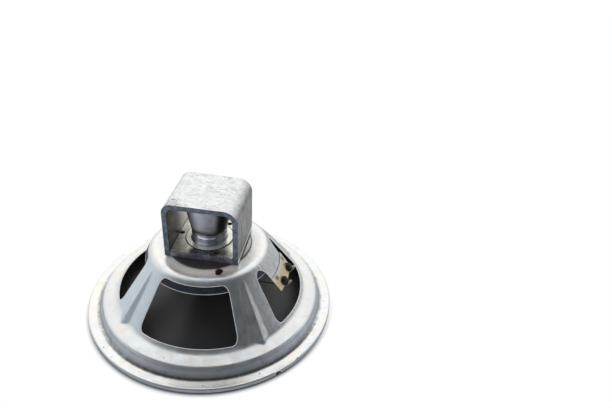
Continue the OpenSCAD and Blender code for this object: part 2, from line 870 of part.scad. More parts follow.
function turned(v, a) = [v[0] * cos(a) - v[1] * sin(a), v[0] * sin(a) + v[1] * cos(a), v[2]];
function bezier(a, b, c, d, t) =
    a * pow(1 - t, 3) + b * 3 * t * pow(1 - t, 2) + c * 3 * pow(t, 2) * (1 - t) + d * pow(t, 3);

cone_face = [sin(cone_tilt(eyelet_circle_r)), 0, cos(cone_tilt(eyelet_circle_r))];
wire_from = [eyelet_circle_r, 0, cone_back_z(eyelet_circle_r)]
    + cone_face * (TOUCH + eyelet_head_h + GLUE);
lug_face = [sin(spoke_tilt), 0, cos(spoke_tilt)];
wire_to = [terminal_r, 0, spoke_z(terminal_r)] - lug_face * (HEAD_GAP + head_h + GLUE);

function wire_point(side, t) = bezier(
    turned(wire_from, side * EYELET_TURN),
    turned(wire_from + cone_face * wire_rise, side * EYELET_TURN),
    turned(wire_to - lug_face * wire_drop - [0, 0, wire_sag], side * terminal_turn),
    turned(wire_to, side * terminal_turn), t);

// Frame of the sweep: it stays upright because the leads never run straight up.
function wire_ring(side, t) =
    let (p = wire_point(side, t), q = wire_point(side, min(t + 0.01, 1)),
        o = wire_point(side, max(t - 0.01, 0)), along = (q - o) / norm(q - o),
        tilted = cross(along, [0, 1, 0.2]), across = tilted / norm(tilted), up = cross(along, across))
    [for (k = [0 : WIRE_SIDES - 1])
        p + WIRE_R * (across * cos(360 * k / WIRE_SIDES) + up * sin(360 * k / WIRE_SIDES))];

module lead_wire(side) {
    points = [for (i = [0 : WIRE_RINGS]) each wire_ring(side, i / WIRE_RINGS)];
    walls = [for (i = [0 : WIRE_RINGS - 1]) for (k = [0 : WIRE_SIDES - 1])
        let (a = i * WIRE_SIDES + k, b = i * WIRE_SIDES + (k + 1) % WIRE_SIDES)
        each [[a, b, b + WIRE_SIDES], [a, b + WIRE_SIDES, a + WIRE_SIDES]]];
    first = [for (k = [WIRE_SIDES - 1 : -1 : 0]) k];
    last = [for (k = [0 : WIRE_SIDES - 1]) WIRE_RINGS * WIRE_SIDES + k];
    color("saddlebrown")
        polyhedron(points = points, faces = concat(walls, [first, last]));
}

module lead_wire_1() {
    lead_wire(-1);
}

module lead_wire_2() {
    lead_wire(1);
}

basket();
gasket_1();
gasket_2();
gasket_3();
gasket_4();
surround();
cone();
dust_cap();
coil_former();
voice_coil();
cone_eyelets();
spider();
spider_ring();
spider_clamp();
hub_disc();
pole_plate();
plate_rivets();
yoke();
magnet_slug();
pole_piece();
centring_can();
terminal_board();
board_rivets();
lug_rivets();
solder_lugs();
solder_joints();
lead_wire_1();
lead_wire_2();
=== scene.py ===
import math

import bmesh
import bpy
import numpy as np
from mathutils import Matrix, Vector


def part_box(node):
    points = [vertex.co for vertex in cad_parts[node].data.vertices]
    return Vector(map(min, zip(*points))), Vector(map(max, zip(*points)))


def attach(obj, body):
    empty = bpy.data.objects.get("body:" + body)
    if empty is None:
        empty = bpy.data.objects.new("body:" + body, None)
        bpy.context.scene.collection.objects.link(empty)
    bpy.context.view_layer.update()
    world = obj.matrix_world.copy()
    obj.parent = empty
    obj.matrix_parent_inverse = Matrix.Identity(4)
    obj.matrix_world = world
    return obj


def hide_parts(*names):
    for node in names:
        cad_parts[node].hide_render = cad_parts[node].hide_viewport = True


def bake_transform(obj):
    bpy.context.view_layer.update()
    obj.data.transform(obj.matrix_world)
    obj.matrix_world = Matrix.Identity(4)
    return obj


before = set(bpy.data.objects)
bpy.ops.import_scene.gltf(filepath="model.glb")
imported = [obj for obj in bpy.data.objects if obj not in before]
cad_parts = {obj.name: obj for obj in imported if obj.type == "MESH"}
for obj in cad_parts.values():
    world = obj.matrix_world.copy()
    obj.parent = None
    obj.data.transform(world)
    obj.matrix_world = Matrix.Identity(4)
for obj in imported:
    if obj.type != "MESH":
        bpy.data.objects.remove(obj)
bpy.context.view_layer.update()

# The looks of a twelve inch woofer that lies face down on its gasket. Lengths are millimetres, as in
# the CAD model, until a mesh is made. Angles in names that end in _DEG are degrees, other angles radians.
MM = 0.001
WELD = 0.002
RANDOM_COUNT = 8192
HASH = (73856093, 19349663, 83492791)


def low(node):
    """The lowest corner of a CAD node, in millimetres."""
    return np.array(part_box(node)[0]) / MM


def high(node):
    """The highest corner of a CAD node, in millimetres."""
    return np.array(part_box(node)[1]) / MM


def ring_of(node, width):
    """The inner and the outer radius, foot and top of a CAD node that is a ring."""
    return high(node)[0] - width, high(node)[0], low(node)[2], high(node)[2]


# The basket, as in the CAD model
RIM_R = high("basket")[0]
LIP_Z = low("basket")[2]
HUB_Z = high("basket")[2]
SHEET = 1.2
FLANGE_Z = 8.5
WALL_FOOT = (141.6, 8.5)
WALL_TOP = (135.0, 20.8)
SPOKE_FOOT = (117.8, 25.6)
HUB_R = 71.0
HUB_HOLE_R = 24.0
TILT = math.atan2(HUB_Z - SPOKE_FOOT[1], SPOKE_FOOT[0] - HUB_R)
SPOKE_OUT = np.array([math.sin(TILT), math.cos(TILT)])
SPOKE_DOWN = np.array([math.cos(TILT), -math.sin(TILT)])
WINDOW_HALF_DEG = 31.0
WINDOW_IN_R = HUB_R + 4.6
WINDOW_OUT_R = SPOKE_FOOT[0] - 2.5
WINDOW_CORNER = 7.0
RIB_START = HUB_R + 4.2
RIB_H = 4.2
RIB_HALF = 9.5
TONGUE_ROOT = (HUB_R - 12, 27.5)
TONGUE_END = (HUB_R + 21, 25.0)
LEDGE_TURN_DEG = -41.0
LEDGE_LEN = 33.0
LEDGE_W = 2.6
LEDGE_DROP = 0.8
LIP_BREAK = 8.0
BASKET_AROUND = 720

# The gasket, the surround, the cone and the spider. Pairs are the inner and the outer radius.
GASKET_MID_DEG = (4, 94, 184, 274)
GASKET_GAP = (10, 10, 20, 20)
GASKET_T = high("gasket_1")[2]
GASKET_OUT = RIM_R - SHEET - 0.4
GASKET_IN = GASKET_OUT - 11.4
ROLL_T = 0.6
ROLL_IN, ROLL_OUT = 122.8, 141.0
ROLL_AMP = 1.7
SURROUND_OUT = high("surround")[0]
SURROUND_SECTORS = 36
PAPER = 0.8
CONE_R = 119.2
NECK_R = 19.2
CONE_H = 59.0
NECK_TOP = high("cone")[2]
SPIDER_Z = high("spider_clamp")[2]
SPIDER_T = 0.5
SPIDER_AMP = 1.8
SPIDER_IN, SPIDER_OUT = NECK_R + 0.75, high("spider")[0]
SPIDER_ROLLS = (22.45, SPIDER_OUT - 8.7)
SPIDER_SECTORS = 24
EYELET_R = 32.0
EYELET_TURN = math.radians(22.5)

# The motor
FORMER = ring_of("coil_former", 0.25)
WINDING = ring_of("voice_coil", high("voice_coil")[0] - NECK_R)
WIRE = 0.3
CLAMP = ring_of("spider_clamp", 8)
DISC_R, _, DISC_TOP = high("hub_disc")
DISC_SHADE_R = 56.0
PLATE_Z, PLATE_TOP = low("pole_plate")[2], high("pole_plate")[2]
PLATE_HALF = high("pole_plate")[:2]
COIL_HOLE_R = 20.4
PLATE_RIVET_DEG = (60, 180, 300)
PLATE_RIVET_R = 34.5
RIVET_HEAD_HOLE_R, RIVET_PIN_HOLE_R = 3.1, 1.95
CAN_R = high("centring_can")[0]
YOKE_HALF_W, YOKE_HALF_D, YOKE_TOP = high("yoke")
STRAP = 6.35
BEND_LEFT_R = 12.5
BEND_RIGHT_R = 17.0
POLE_TOP = high("pole_piece")[2]
POLE_R = 18.4
POLE_HEAD = (18.8, 0.6)
SLUG_FOOT_R = 17.8
SLUG_WAIST_R = 22.6
SLUG_ROUND_H = 4.0
SLUG_BEVEL_H = 0.8
SLUG_TOP_R = YOKE_HALF_W - BEND_RIGHT_R - 0.3

# The terminals
BOARD_IN = 87.0
BOARD_OUT = 98.4
BOARD_ROOT = (59.0, 28.3)
BOARD_SLOPE = -2.5 / 40.4
BOARD_T = 0.95
BOARD_ROWS, BOARD_COLUMNS = 24, 80
BOARD_RIVET_R = 89.5
BOARD_RIVET_Y = 18.5
BOARD_RIVET_TURN = math.asin(BOARD_RIVET_Y / BOARD_RIVET_R)
BOARD_TOP = 1.05
TERMINAL_R = 95.2
TERMINAL_Y = 13.0
TERMINAL_TURN = math.asin(TERMINAL_Y / TERMINAL_R)
LUG_UP = BOARD_TOP + 0.25
LUG_T = 0.6
LUG_EDGE = 0.12
LUG_HALF = 3.5
LUG_BEND = math.radians(105)
LUG_BEND_R = 0.9
LUG_BEND_X = 5.2
LUG_EYE = 12.29
LUG_HOLE_R = 1.6
LUMP_R, LUMP_H = 6.3, 5.2
LEAD_R = 0.73

# Marks on the surfaces, as (x, y, z, size)
BASKET_SPOTS = [(-82, -67, 26, 1.5), (-98, -114, 8.5, 1.1), (-83, -126, 8.5, 0.9), (67, -102, 27, 1.3),
                (63, -57, 60, 1.2), (-60, -50, 62, 1.2), (122, -58, 21.8, 1.2), (52, -122, 20, 1.4),
                (-20, -128, 22.3, 0.8), (88, -118, 9, 1.5), (30, -146, 8.5, 0.9), (-45, -141, 8.5, 0.8),
                (140, -30, 9, 1.3)]
HUB_RUST = [(25, -50.5, HUB_Z, 5.6), (25, -54, HUB_Z, 4.6)]
HUB_PALE = [(33, -50.5, HUB_Z, 6.5), (31, -56, HUB_Z, 5.5)]
YOKE_SPOTS = [(-37, -36, YOKE_TOP, 10), (-26, -37, YOKE_TOP, 9), (-33, -28, YOKE_TOP, 9)]
# Painted shade on the plate in front of the can
PLATE_SHADE_SPOTS = [(-9, -33, PLATE_TOP, 9), (2, -32, PLATE_TOP, 10), (13, -31, PLATE_TOP, 10)]
PLATE_OLIVE = [(24, -29, PLATE_TOP, 7)]
BOARD_RUST = [(BOARD_RIVET_R * math.cos(BOARD_RIVET_TURN), side * BOARD_RIVET_Y, 68, 6) for side in (-1, 1)]


# Numbers on grids

def step(low_end, high_end, x):
    """Smoothly from 0 at low_end to 1 at high_end."""
    t = np.clip((x - low_end) / (high_end - low_end), 0, 1)
    return t * t * (3 - 2 * t)


def unit(vectors):
    return vectors / np.maximum(np.linalg.norm(vectors, axis=-1, keepdims=True), 1e-9)


def turned(r, angle, z):
    """Points at radius r, angle about the axis and height z, which are broadcast together."""
    return np.stack(np.broadcast_arrays(r * np.cos(angle), r * np.sin(angle), z), -1)


def lumps(points, size, seed):
    """Smooth random values from -1 to 1 at points, with lumps of that size."""
    table = np.random.default_rng(seed).random(RANDOM_COUNT) * 2 - 1
    p = np.asarray(points, float) / size
    cell = np.floor(p).astype(np.int64)
    f = p - cell
    f = f * f * (3 - 2 * f)
    total = np.zeros(p.shape[:-1])
    for corner in range(8):
        bits = np.array([corner & 1, corner >> 1 & 1, corner >> 2 & 1])
        x, y, z = np.moveaxis((cell + bits) * HASH, -1, 0)
        spot = (x ^ y ^ z) % RANDOM_COUNT
        total += np.prod(np.where(bits, f, 1 - f), axis=-1) * table[spot]
    return total


def rounded(corners, closed=True, turn_deg=12):
    """A path whose corners, given as (a, b, radius), are arcs with a point every turn_deg or so."""
    out = []
    count = len(corners)
    for i, (x, y, radius) in enumerate(corners):
        b = np.array([x, y], float)
        if radius == 0 or (not closed and i in (0, count - 1)):
            out.append(b)
            continue
        u = unit(np.array(corners[i - 1][:2]) - b)
        w = unit(np.array(corners[(i + 1) % count][:2]) - b)
        half = math.acos(np.clip(u @ w, -1, 1)) / 2
        mid = b + unit(u + w) * radius / math.sin(half)
        first, last = (b + side * radius / math.tan(half) - mid for side in (u, w))
        start = math.atan2(first[1], first[0])
        swing = (math.atan2(last[1], last[0]) - start + math.pi) % (2 * math.pi) - math.pi
        steps = max(2, round(abs(math.degrees(swing)) / turn_deg))
        for k in range(steps + 1):
            angle = start + swing * k / steps
            out.append(mid + radius * np.array([math.cos(angle), math.sin(angle)]))
    return np.array(out)


def refined(path, longest, closed=False):
    """The same path with points added so that no side is longer than longest."""
    ends = list(range(len(path))) + ([0] if closed else [])
    out = []
    for i, j in zip(ends, ends[1:]):
        a, b = path[i], path[j]
        parts = max(1, math.ceil(np.linalg.norm(b - a) / longest))
        out += [a + (b - a) * k / parts for k in range(parts)]
    return np.array(out if closed else out + [path[-1]])


def left_of(path):
    """Unit vectors to the left of a plane path, at its points."""
    along = unit(np.gradient(path, axis=0))
    return np.stack([-along[:, 1], along[:, 0]], 1)


def sheet_outline(parts, thickness):
    """The closed outline of a sheet that lies to the left of a path, which is given in parts."""
    path = np.concatenate(parts)
    return np.concatenate([path, (path + left_of(path) * thickness)[::-1]])


def ring_outline(r_in, r_out, z_low, z_high, radius, longest=None):
    """A rectangle of (r, z) with rounded corners."""
    path = rounded([(r_in, z_low, radius), (r_out, z_low, radius), (r_out, z_high, radius),
                    (r_in, z_high, radius)], turn_deg=22)
    return refined(path, longest, closed=True) if longest else path


def dome(radius, base, height, steps=5):
    a = np.linspace(0, math.pi / 2, steps + 1)
    return np.stack([radius * np.cos(a), base + height * np.sin(a)], 1)


# Meshes, which are (points, faces) until they are pieces

def grid_faces(rows, columns, close_rows=False, close_columns=False):
    """Faces of a grid of points numbered row by row."""
    r = np.arange(rows if close_rows else rows - 1)[:, None]
    c = np.arange(columns if close_columns else columns - 1)[None, :]
    r2, c2 = (r + 1) % rows, (c + 1) % columns
    quads = np.stack([r * columns + c, r2 * columns + c, r2 * columns + c2, r * columns + c2], -1)
    return quads.reshape(-1, 4).tolist()


def end_faces(rows, count):
    """The first and the last row of a grid, as two faces that look the same way."""
    return [list(range(count)), [(rows - 1) * count + k for k in range(count)]]


def lathe(outline, steps=160, from_deg=0.0, sweep_deg=360.0):
    """A closed outline of (r, z), counter clockwise, turned about the axis."""
    whole = sweep_deg == 360.0
    angle = np.radians(from_deg + sweep_deg * np.arange(steps + (not whole)) / steps)
    outline = np.asarray(outline, float)
    faces = grid_faces(len(angle), len(outline), whole, True)
    if not whole:
        first, last = end_faces(len(angle), len(outline))
        faces += [first[::-1], last]
    return turned(outline[:, 0], angle[:, None], outline[:, 1]).reshape(-1, 3), faces


def merged(parts):
    """Several meshes as one."""
    points, faces, count = [], [], 0
    for p, f in parts:
        points.append(np.asarray(p, float))
        faces += [[v + count for v in face] for face in f]
        count += len(p)
    return np.concatenate(points), faces


def placed(made, matrix):
    """A mesh moved by a 4x4 matrix."""
    m = np.array(matrix, float)
    return np.asarray(made[0]) @ m[:3, :3].T + m[:3, 3], made[1]


def rough(made, size, depth, seed, inwards=False):
    """Moves points by smooth noise along their normals, at most depth, or only inwards."""
    points, faces = np.array(made[0], float), made[1]
    normal = np.zeros_like(points)
    for face in faces:
        a, b, c = points[face[0]], points[face[1]], points[face[-1]]
        out = np.cross(b - a, c - a)
        for v in face:
            normal[v] += out
    move = lumps(points, size, seed)
    if inwards:
        move = (move - 1) / 2
    return points + unit(normal) * (move * depth)[:, None], faces


def clipped(values, faces):
    """Cuts a grid where values pass zero: kept faces, and cuts as {(kept point, lost point): number}."""
    cuts, kept = {}, []
    keep = values > 0
    for face in faces:
        ring = []
        for a, b in zip(face, face[1:] + face[:1]):
            if keep[a]:
                ring.append(a)
            if keep[a] != keep[b]:
                edge = (a, b) if keep[a] else (b, a)
                ring.append(cuts.setdefault(edge, len(values) + len(cuts)))
        if ring:
            kept.append(ring)
    return kept, cuts


def thickened(points, normal, faces, thickness, round_steps=5):
    """A closed sheet: faces, the same faces further in, and half round edges of kind 1 between them."""
    used = sorted({v for face in faces for v in face})
    number = {v: i for i, v in enumerate(used)}
    points, normal = points[used], normal[used]
    faces = [[number[v] for v in face] for face in faces]
    sides = {(a, b) for face in faces for a, b in zip(face, face[1:] + face[:1])}
    rim = [(a, b) for a, b in sides if (b, a) not in sides]
    away = np.zeros_like(points)
    for a, b in rim:
        out = np.cross(points[b] - points[a], normal[a] + normal[b])
        away[a] += out
        away[b] += out
    edge = sorted({v for side in rim for v in side})
    out, up = unit(away[edge]), normal[edge]
    mid = points[edge] - up * thickness / 2
    count = len(points)
    layers = [points, points - normal * thickness]
    rings = []
    for k in range(1, round_steps):
        turn = math.pi * k / round_steps
        layers.append(mid + thickness / 2 * (math.cos(turn) * up + math.sin(turn) * out))
        rings.append(2 * count + (k - 1) * len(edge))
    place = {v: i for i, v in enumerate(edge)}
    walls = []
    for a, b in rim:
        rows = [(a, b)] + [(base + place[a], base + place[b]) for base in rings] + [(a + count, b + count)]
        walls += [[p[1], p[0], q[0], q[1]] for p, q in zip(rows, rows[1:])]
    inner = [[v + count for v in reversed(face)] for face in faces]
    return np.concatenate(layers), faces + inner + walls, [0] * 2 * len(faces) + [1] * len(walls)


def evaluated(obj):
    """A new mesh of an object with its modifiers or its curve's thickness."""
    bpy.context.view_layer.update()
    return bpy.data.meshes.new_from_object(obj.evaluated_get(bpy.context.evaluated_depsgraph_get()))


def smooth(mesh, sharp_deg):
    mesh.shade_smooth()
    mesh.set_sharp_from_angle(angle=math.radians(sharp_deg))


def linked(name, data):
    obj = bpy.data.objects.new(name, data)
    bpy.context.scene.collection.objects.link(obj)
    return obj


def piece(name, made, paints, node=None, body="frame", sharp_deg=40):
    """An object from (points, faces) or (points, faces, each face's paint), with its paints as materials."""
    points, faces, *kinds = made
    paints = paints if isinstance(paints, list) else [paints]
    mesh = bpy.data.meshes.new(name)
    mesh.from_pydata((np.asarray(points) * MM).tolist(), [], faces)
    if kinds:
        mesh.polygons.foreach_set("material_index", np.asarray(kinds[0], np.int32))
    weld = bmesh.new()
    weld.from_mesh(mesh)
    bmesh.ops.remove_doubles(weld, verts=weld.verts, dist=WELD * MM)
    weld.to_mesh(mesh)
    weld.free()
    obj = linked(name, mesh)
    for paint in paints:
        mesh.materials.append(paint.material)
    smooth(mesh, sharp_deg)
    if node:
        if body:
            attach(obj, body)
        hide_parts(node)
    return obj


def on_spokes(turn, r, up=0.0):
    """The frame of a place on the spoke cone: x runs down the cone and z points out of it."""
    z = HUB_Z - (r - HUB_R) * math.tan(TILT)
    return (Matrix.Rotation(turn, 4, "Z") @ Matrix.Translation((r, 0, z))
            @ Matrix.Rotation(TILT, 4, "Y") @ Matrix.Translation((0, 0, up)))


# Paints

class Nodes:
    """The nodes of a material or a world. Values are sockets, numbers or colours."""

    def __init__(self, owner):
        owner.use_nodes = True
        self.tree = owner.node_tree
        self.tree.nodes.clear()

    def feed(self, socket, value):
        if isinstance(value, bpy.types.NodeSocket):
            self.tree.links.new(value, socket)
        elif isinstance(value, tuple) and len(value) == 3 and len(socket.default_value) == 4:
            socket.default_value = (*value, 1)
        else:
            socket.default_value = value

    def node(self, kind, inputs=None, **settings):
        node = self.tree.nodes.new(kind)
        for key, value in settings.items():
            setattr(node, key, value)
        for key, value in (inputs or {}).items():
            self.feed(node.inputs[key], value)
        return node

    def math(self, operation, *values):
        return self.node("ShaderNodeMath", dict(enumerate(values)), operation=operation).outputs[0]

    def times(self, product, *factors):
        for factor in factors:
            product = self.math("MULTIPLY", product, factor)
        return product

    def plus(self, a, b):
        return self.math("ADD", a, b)

    def minus(self, a, b):
        return self.math("SUBTRACT", a, b)

    def apart(self, value, middle=0.0):
        """How far a value is from middle."""
        return self.math("ABSOLUTE", self.minus(value, middle))

    def range(self, value, low_end, high_end, to_low=0.0, to_high=1.0, soft=True):
        return self.node("ShaderNodeMapRange", {0: value, 1: low_end, 2: high_end, 3: to_low, 4: to_high},
                         interpolation_type="SMOOTHSTEP" if soft else "LINEAR").outputs[0]

    def mix(self, share, a, b):
        """Colour a where share is 0 and b where it is 1."""
        return self.node("ShaderNodeMix", {0: share, 6: a, 7: b}, data_type="RGBA").outputs[2]

    def shades(self, value, low_end, high_end, a, b):
        """Colour a where value is low_end and b where it is high_end."""
        return self.mix(self.range(value, low_end, high_end), a, b)


class Paint(Nodes):
    """One material. Its colour is built up in layers and its places are in millimetres."""

    def __init__(self, name, metallic=0.0, roughness=0.5, **others):
        self.name = name
        self.material = bpy.data.materials.new(name)
        super().__init__(self.material)
        self.bsdf = self.node("ShaderNodeBsdfPrincipled")
        self.out = self.node("ShaderNodeOutputMaterial", {0: self.bsdf.outputs[0]})
        self.coord = self.node("ShaderNodeTexCoord").outputs
        self.place = self.node("ShaderNodeVectorMath", {0: self.coord["Object"], "Scale": 1 / MM},
                               operation="SCALE").outputs[0]
        for key, value in {"Metallic": metallic, "Roughness": roughness, **others}.items():
            self.set(key.replace("_", " "), value)

    def set(self, name, value):
        self.feed(self.bsdf.inputs[name], value)

    def coat(self, colour):
        """Covers everything with a colour."""
        self.colour = colour
        self.set("Base Color", colour)

    def tint(self, colour, *shares):
        """Covers the product of the shares with a colour."""
        self.coat(self.mix(self.times(*shares), self.colour, colour))

    def dull(self, value, at_low, at_high):
        """Roughness that follows a noise."""
        self.set("Roughness", self.range(value, 0.3, 0.7, at_low, at_high))

    def bump(self, height, depth):
        """Adds relief: height from 0 to 1 stands for depth in millimetres."""
        node = self.node("ShaderNodeBump", {"Height": height, "Strength": 1.0, "Distance": depth * MM})
        normal = self.bsdf.inputs["Normal"]
        if normal.is_linked:
            self.feed(node.inputs["Normal"], normal.links[0].from_socket)
        self.feed(normal, node.outputs[0])

    def split(self, vector=None):
        return self.node("ShaderNodeSeparateXYZ", {0: vector or self.place}).outputs

    def join(self, x, y, z):
        return self.node("ShaderNodeCombineXYZ", {0: x, 1: y, 2: z}).outputs[0]

    def facing(self, axis=2):
        """How far the surface faces along an axis, from -1 to 1."""
        return self.split(self.coord["Normal"])[axis]

    def radius(self):
        x, y, _ = self.split()
        return self.math("SQRT", self.plus(self.times(x, x), self.times(y, y)))

    def angle(self, scale=math.degrees(1)):
        """The angle about the axis, in degrees or with another scale to radians."""
        x, y, _ = self.split()
        return self.times(self.math("ARCTAN2", y, x), scale)

    def polar(self, around, across=1.0, up=1.0):
        """The place as (angle in radians times around, radius times across, height times up)."""
        height = self.times(self.split()[2], up)
        return self.join(self.angle(around), self.times(self.radius(), across), height)

    def noise(self, size, detail=3.0, rough=0.5, where=None, warp=0.0):
        """Noise from 0 to 1 with lumps of that size."""
        return self.node("ShaderNodeTexNoise", {"Vector": where or self.place, "Scale": 1 / size,
                         "Detail": detail, "Roughness": rough, "Distortion": warp}).outputs["Fac"]

    def cells(self, size, where=None):
        """Distance to the nearest of scattered points, in cells of that size."""
        return self.node("ShaderNodeTexVoronoi", {"Vector": where or self.place, "Scale": 1 / size,
                         "Randomness": 1.0}, feature="F1").outputs["Distance"]

    def near(self, spots, reach):
        """1 at spots, which are (x, y, z, size), falling to 0 at their size from reach times it."""
        total = 0.0
        for x, y, z, size in spots:
            away = self.node("ShaderNodeVectorMath", {0: self.place, 1: (x, y, z)}, operation="DISTANCE")
            one = self.range(away.outputs["Value"], size * reach, size, 1.0, 0.0)
            total = self.math("MAXIMUM", total, one)
        return total


def plated_steel():
    p = Paint("plated_steel", 0.9, 0.34)
    x, y, z = p.split()
    r = p.radius()
    up = p.apart(p.facing())
    over_wall = WALL_TOP[1]
    clouds = p.noise(34, 4, 0.55, warp=0.6)
    foot_patches = p.noise(7, 4, 0.6)
    front = p.range(p.math("DIVIDE", p.minus(p.times(x, 0.3), p.times(y, 0.95)), r), -0.2, 0.95)
    p.coat(p.shades(clouds, 0.32, 0.68, (0.92, 0.94, 0.96), (0.99, 0.98, 0.95)))
    p.tint((1.0, 0.93, 0.82), p.range(p.noise(22, 4, 0.6, warp=0.5), 0.47, 0.66), 0.75)
    p.tint((0.70, 0.68, 0.60), p.range(p.noise(9, 5, 0.65, warp=0.8), 0.54, 0.7), 0.4)
    # Painted reflection: the sheet bluer and darker the further it turns from level
    p.tint((0.63, 0.70, 0.76), p.range(p.plus(up, p.times(p.minus(p.noise(12, 4), 0.5), 0.12)), 0.93, 0.52))
    # Painted shade: the wall painted dark, with a paler line along its middle
    steep = p.times(p.range(up, 0.56, 0.44), p.range(z, over_wall + 5, over_wall))
    p.tint(p.mix(p.noise(10, 4), (0.24, 0.27, 0.31), (0.44, 0.47, 0.50)), steep)
    p.tint((0.66, 0.67, 0.66), p.range(p.apart(z, FLANGE_Z + 6.7), 2.2, 0.8), steep, 0.35)
    # Painted reflection: the spokes' right sides darkened in streaks, as if mirroring a dark room
    streaks = p.noise(2.2, 4, 0.65, where=p.polar(90, 0.25, 0.25))
    p.tint(p.shades(streaks, 0.35, 0.65, (0.40, 0.41, 0.42), (0.60, 0.61, 0.61)),
           p.range(p.facing(0), 0.2, 0.65), p.range(up, 0.93, 0.8),
           p.range(z, over_wall + 1, over_wall + 5), 0.85)
    # Specks, then marks at the wall's foot, on the hub about the disc and on the lip
    p.tint((0.16, 0.12, 0.09), p.range(p.cells(6.5), 0.1, 0.055), p.range(p.noise(26, 2), 0.55, 0.62), 0.8)
    # Painted shade in the crease at the wall's foot, strongest in front and broken up in patches
    p.tint((0.045, 0.05, 0.06), p.range(p.apart(r, WALL_FOOT[0] + 0.7), 2.6, 0.3),
           p.range(front, 0.45, 1.0, 0.04, 0.97), p.range(foot_patches, 0.3, 0.55, 0.85, 1.0))
    # The flange darker and browner close to the wall's foot, in patches
    p.tint((0.20, 0.18, 0.15), p.range(z, FLANGE_Z + 5, FLANGE_Z + 1),
           p.range(r, WALL_FOOT[0] + 3.9, WALL_FOOT[0] + 0.9), p.range(foot_patches, 0.35, 0.62, 0.1, 0.5))
    # Painted shade on the hub in front of the disc
    p.tint((0.18, 0.19, 0.21), p.range(r, DISC_SHADE_R, DISC_SHADE_R - 9),
           p.range(z, HUB_Z - 1, HUB_Z - 0.5), p.range(front, 0.75, 0.97, 0.0, 0.6))
    # Painted shade on the lip's bottom, strongest in front
    ahead = p.math("DIVIDE", p.times(y, -1.0), r)
    p.tint((0.07, 0.075, 0.08), p.range(z, LIP_Z + 1.5, LIP_Z + 0.6), p.range(ahead, 0.15, 0.95, 0.2, 0.88))
    # The rust blot on the hub with its pale edge, and small spots
    p.tint((0.86, 0.76, 0.62), p.near(HUB_PALE, 0.3), 0.85)
    p.tint(p.shades(p.noise(1.1, 4), 0.45, 0.65, (0.015, 0.01, 0.009), (0.10, 0.035, 0.02)),
           p.near(HUB_RUST, 0.65), p.range(p.noise(1.6, 4, 0.7), 0.26, 0.36))
    p.tint((0.07, 0.05, 0.04), p.near(BASKET_SPOTS, 0.5), 0.85)
    by_disc = p.times(p.range(r, HUB_R - 1, DISC_SHADE_R), p.range(z, HUB_Z - 2, HUB_Z - 0.5))
    p.set("Metallic", p.minus(0.9, p.times(by_disc, 0.4)))
    p.dull(p.noise(14, 4, 0.6), 0.27, 0.42)
    p.bump(p.noise(1.1, 3, 0.6), 0.02)
    p.bump(clouds, 0.25)
    return p


def yoke_back():
    p = Paint("yoke_back", 0.55, 0.5)
    x, y, z = p.split()
    lying = p.join(p.times(x, 0.55), y, z)
    scales = p.noise(4.5, 5, 0.65, lying, 1.4)
    p.coat(p.shades(scales, 0.34, 0.56, (0.73, 0.74, 0.75), (0.98, 0.98, 0.97)))
    p.tint((0.5, 0.51, 0.53), p.range(p.apart(p.noise(7, 4, 0.6, lying, 1.0), 0.5), 0.03, 0.0), 0.22)
    p.tint((0.5, 0.5, 0.5), p.range(p.noise(20, 4, 0.6, warp=0.4), 0.5, 0.72), 0.3)
    p.tint((0.35, 0.35, 0.35), p.range(p.cells(2.6), 0.32, 0.1), p.range(p.noise(11, 3), 0.5, 0.62), 0.3)
    # Painted shade: the legs and bends darker as they turn from the top, in streaks; then a pale band at the
    # legs' foot
    streaks = p.noise(1.0, 4, 0.6, p.join(p.times(x, 0.3), p.times(y, 0.3), p.times(z, 0.05)))
    p.tint(p.shades(streaks, 0.3, 0.7, (0.14, 0.14, 0.15), (0.34, 0.34, 0.34)),
           p.range(p.facing(), 0.985, 0.25))
    p.tint((0.86, 0.86, 0.84), p.range(z, PLATE_Z + 5.5, PLATE_Z + 4.5),
           p.range(streaks, 0.3, 0.5, 0.5, 0.9))
    p.tint((0.2, 0.2, 0.21), p.near(YOKE_SPOTS, 0.1), p.range(scales, 0.42, 0.6))
    p.dull(scales, 0.6, 0.42)
    p.bump(scales, 0.35)
    p.bump(p.noise(0.9, 3, 0.6), 0.04)
    return p


def yoke_edge():
    """The strap's cut edges and its inside, dark blue-grey as a painted dark reflection; the inside has
    painted light, bright at the back.
    """
    p = Paint("yoke_edge", 0.6)
    clouds = p.noise(7, 5, 0.65, warp=0.7)
    # Painted dark reflection on the cut edges
    p.coat(p.shades(clouds, 0.38, 0.66, (0.07, 0.09, 0.115), (0.15, 0.18, 0.23)))
    back = p.plus(p.split()[1], p.times(clouds, 14.0))
    # Painted light: the inside bright towards the back and dark towards the front
    p.tint(p.shades(back, -4, 40, (0.05, 0.043, 0.046), (0.80, 0.78, 0.70)),
           p.range(p.apart(p.facing(0)), 0.5, 0.9))
    p.dull(clouds, 0.5, 0.34)
    p.bump(p.noise(1.6, 4, 0.65), 0.1)
    return p


def plate_steel():
    """The pole plate's top, with painted shade in front of the can and a painted shadow line about it."""
    p = Paint("plate_steel", 0.85)
    clouds = p.noise(13, 5, 0.6, warp=0.9)
    p.coat(p.shades(clouds, 0.36, 0.64, (0.70, 0.68, 0.60), (0.97, 0.95, 0.89)))
    p.tint((0.26, 0.23, 0.16), p.range(p.noise(4, 4, 0.7), 0.58, 0.68), 0.6)
    p.tint((0.24, 0.24, 0.15), p.near(PLATE_OLIVE, 0.3), 0.7)
    # Painted shade in front of the can
    p.tint((0.07, 0.08, 0.10), p.near(PLATE_SHADE_SPOTS, 0.5), 0.88)
    # Painted shadow line about the can's flange
    p.tint((0.03, 0.03, 0.035), p.range(p.apart(p.radius(), CAN_R + 0.5), 1.0, 0.5), 0.92)
    p.dull(clouds, 0.4, 0.24)
    p.bump(p.noise(0.8, 3, 0.6), 0.02)
    return p


def clouded(name, metallic, roughness, cloud, ends, dark, light, grain, relief):
    """A paint between two colours. Cloud and grain are the sizes of noises for colour and relief."""
    p = Paint(name, metallic, roughness)
    p.coat(p.shades(p.noise(*cloud), *ends, dark, light))
    p.bump(p.noise(*grain), relief)
    return p


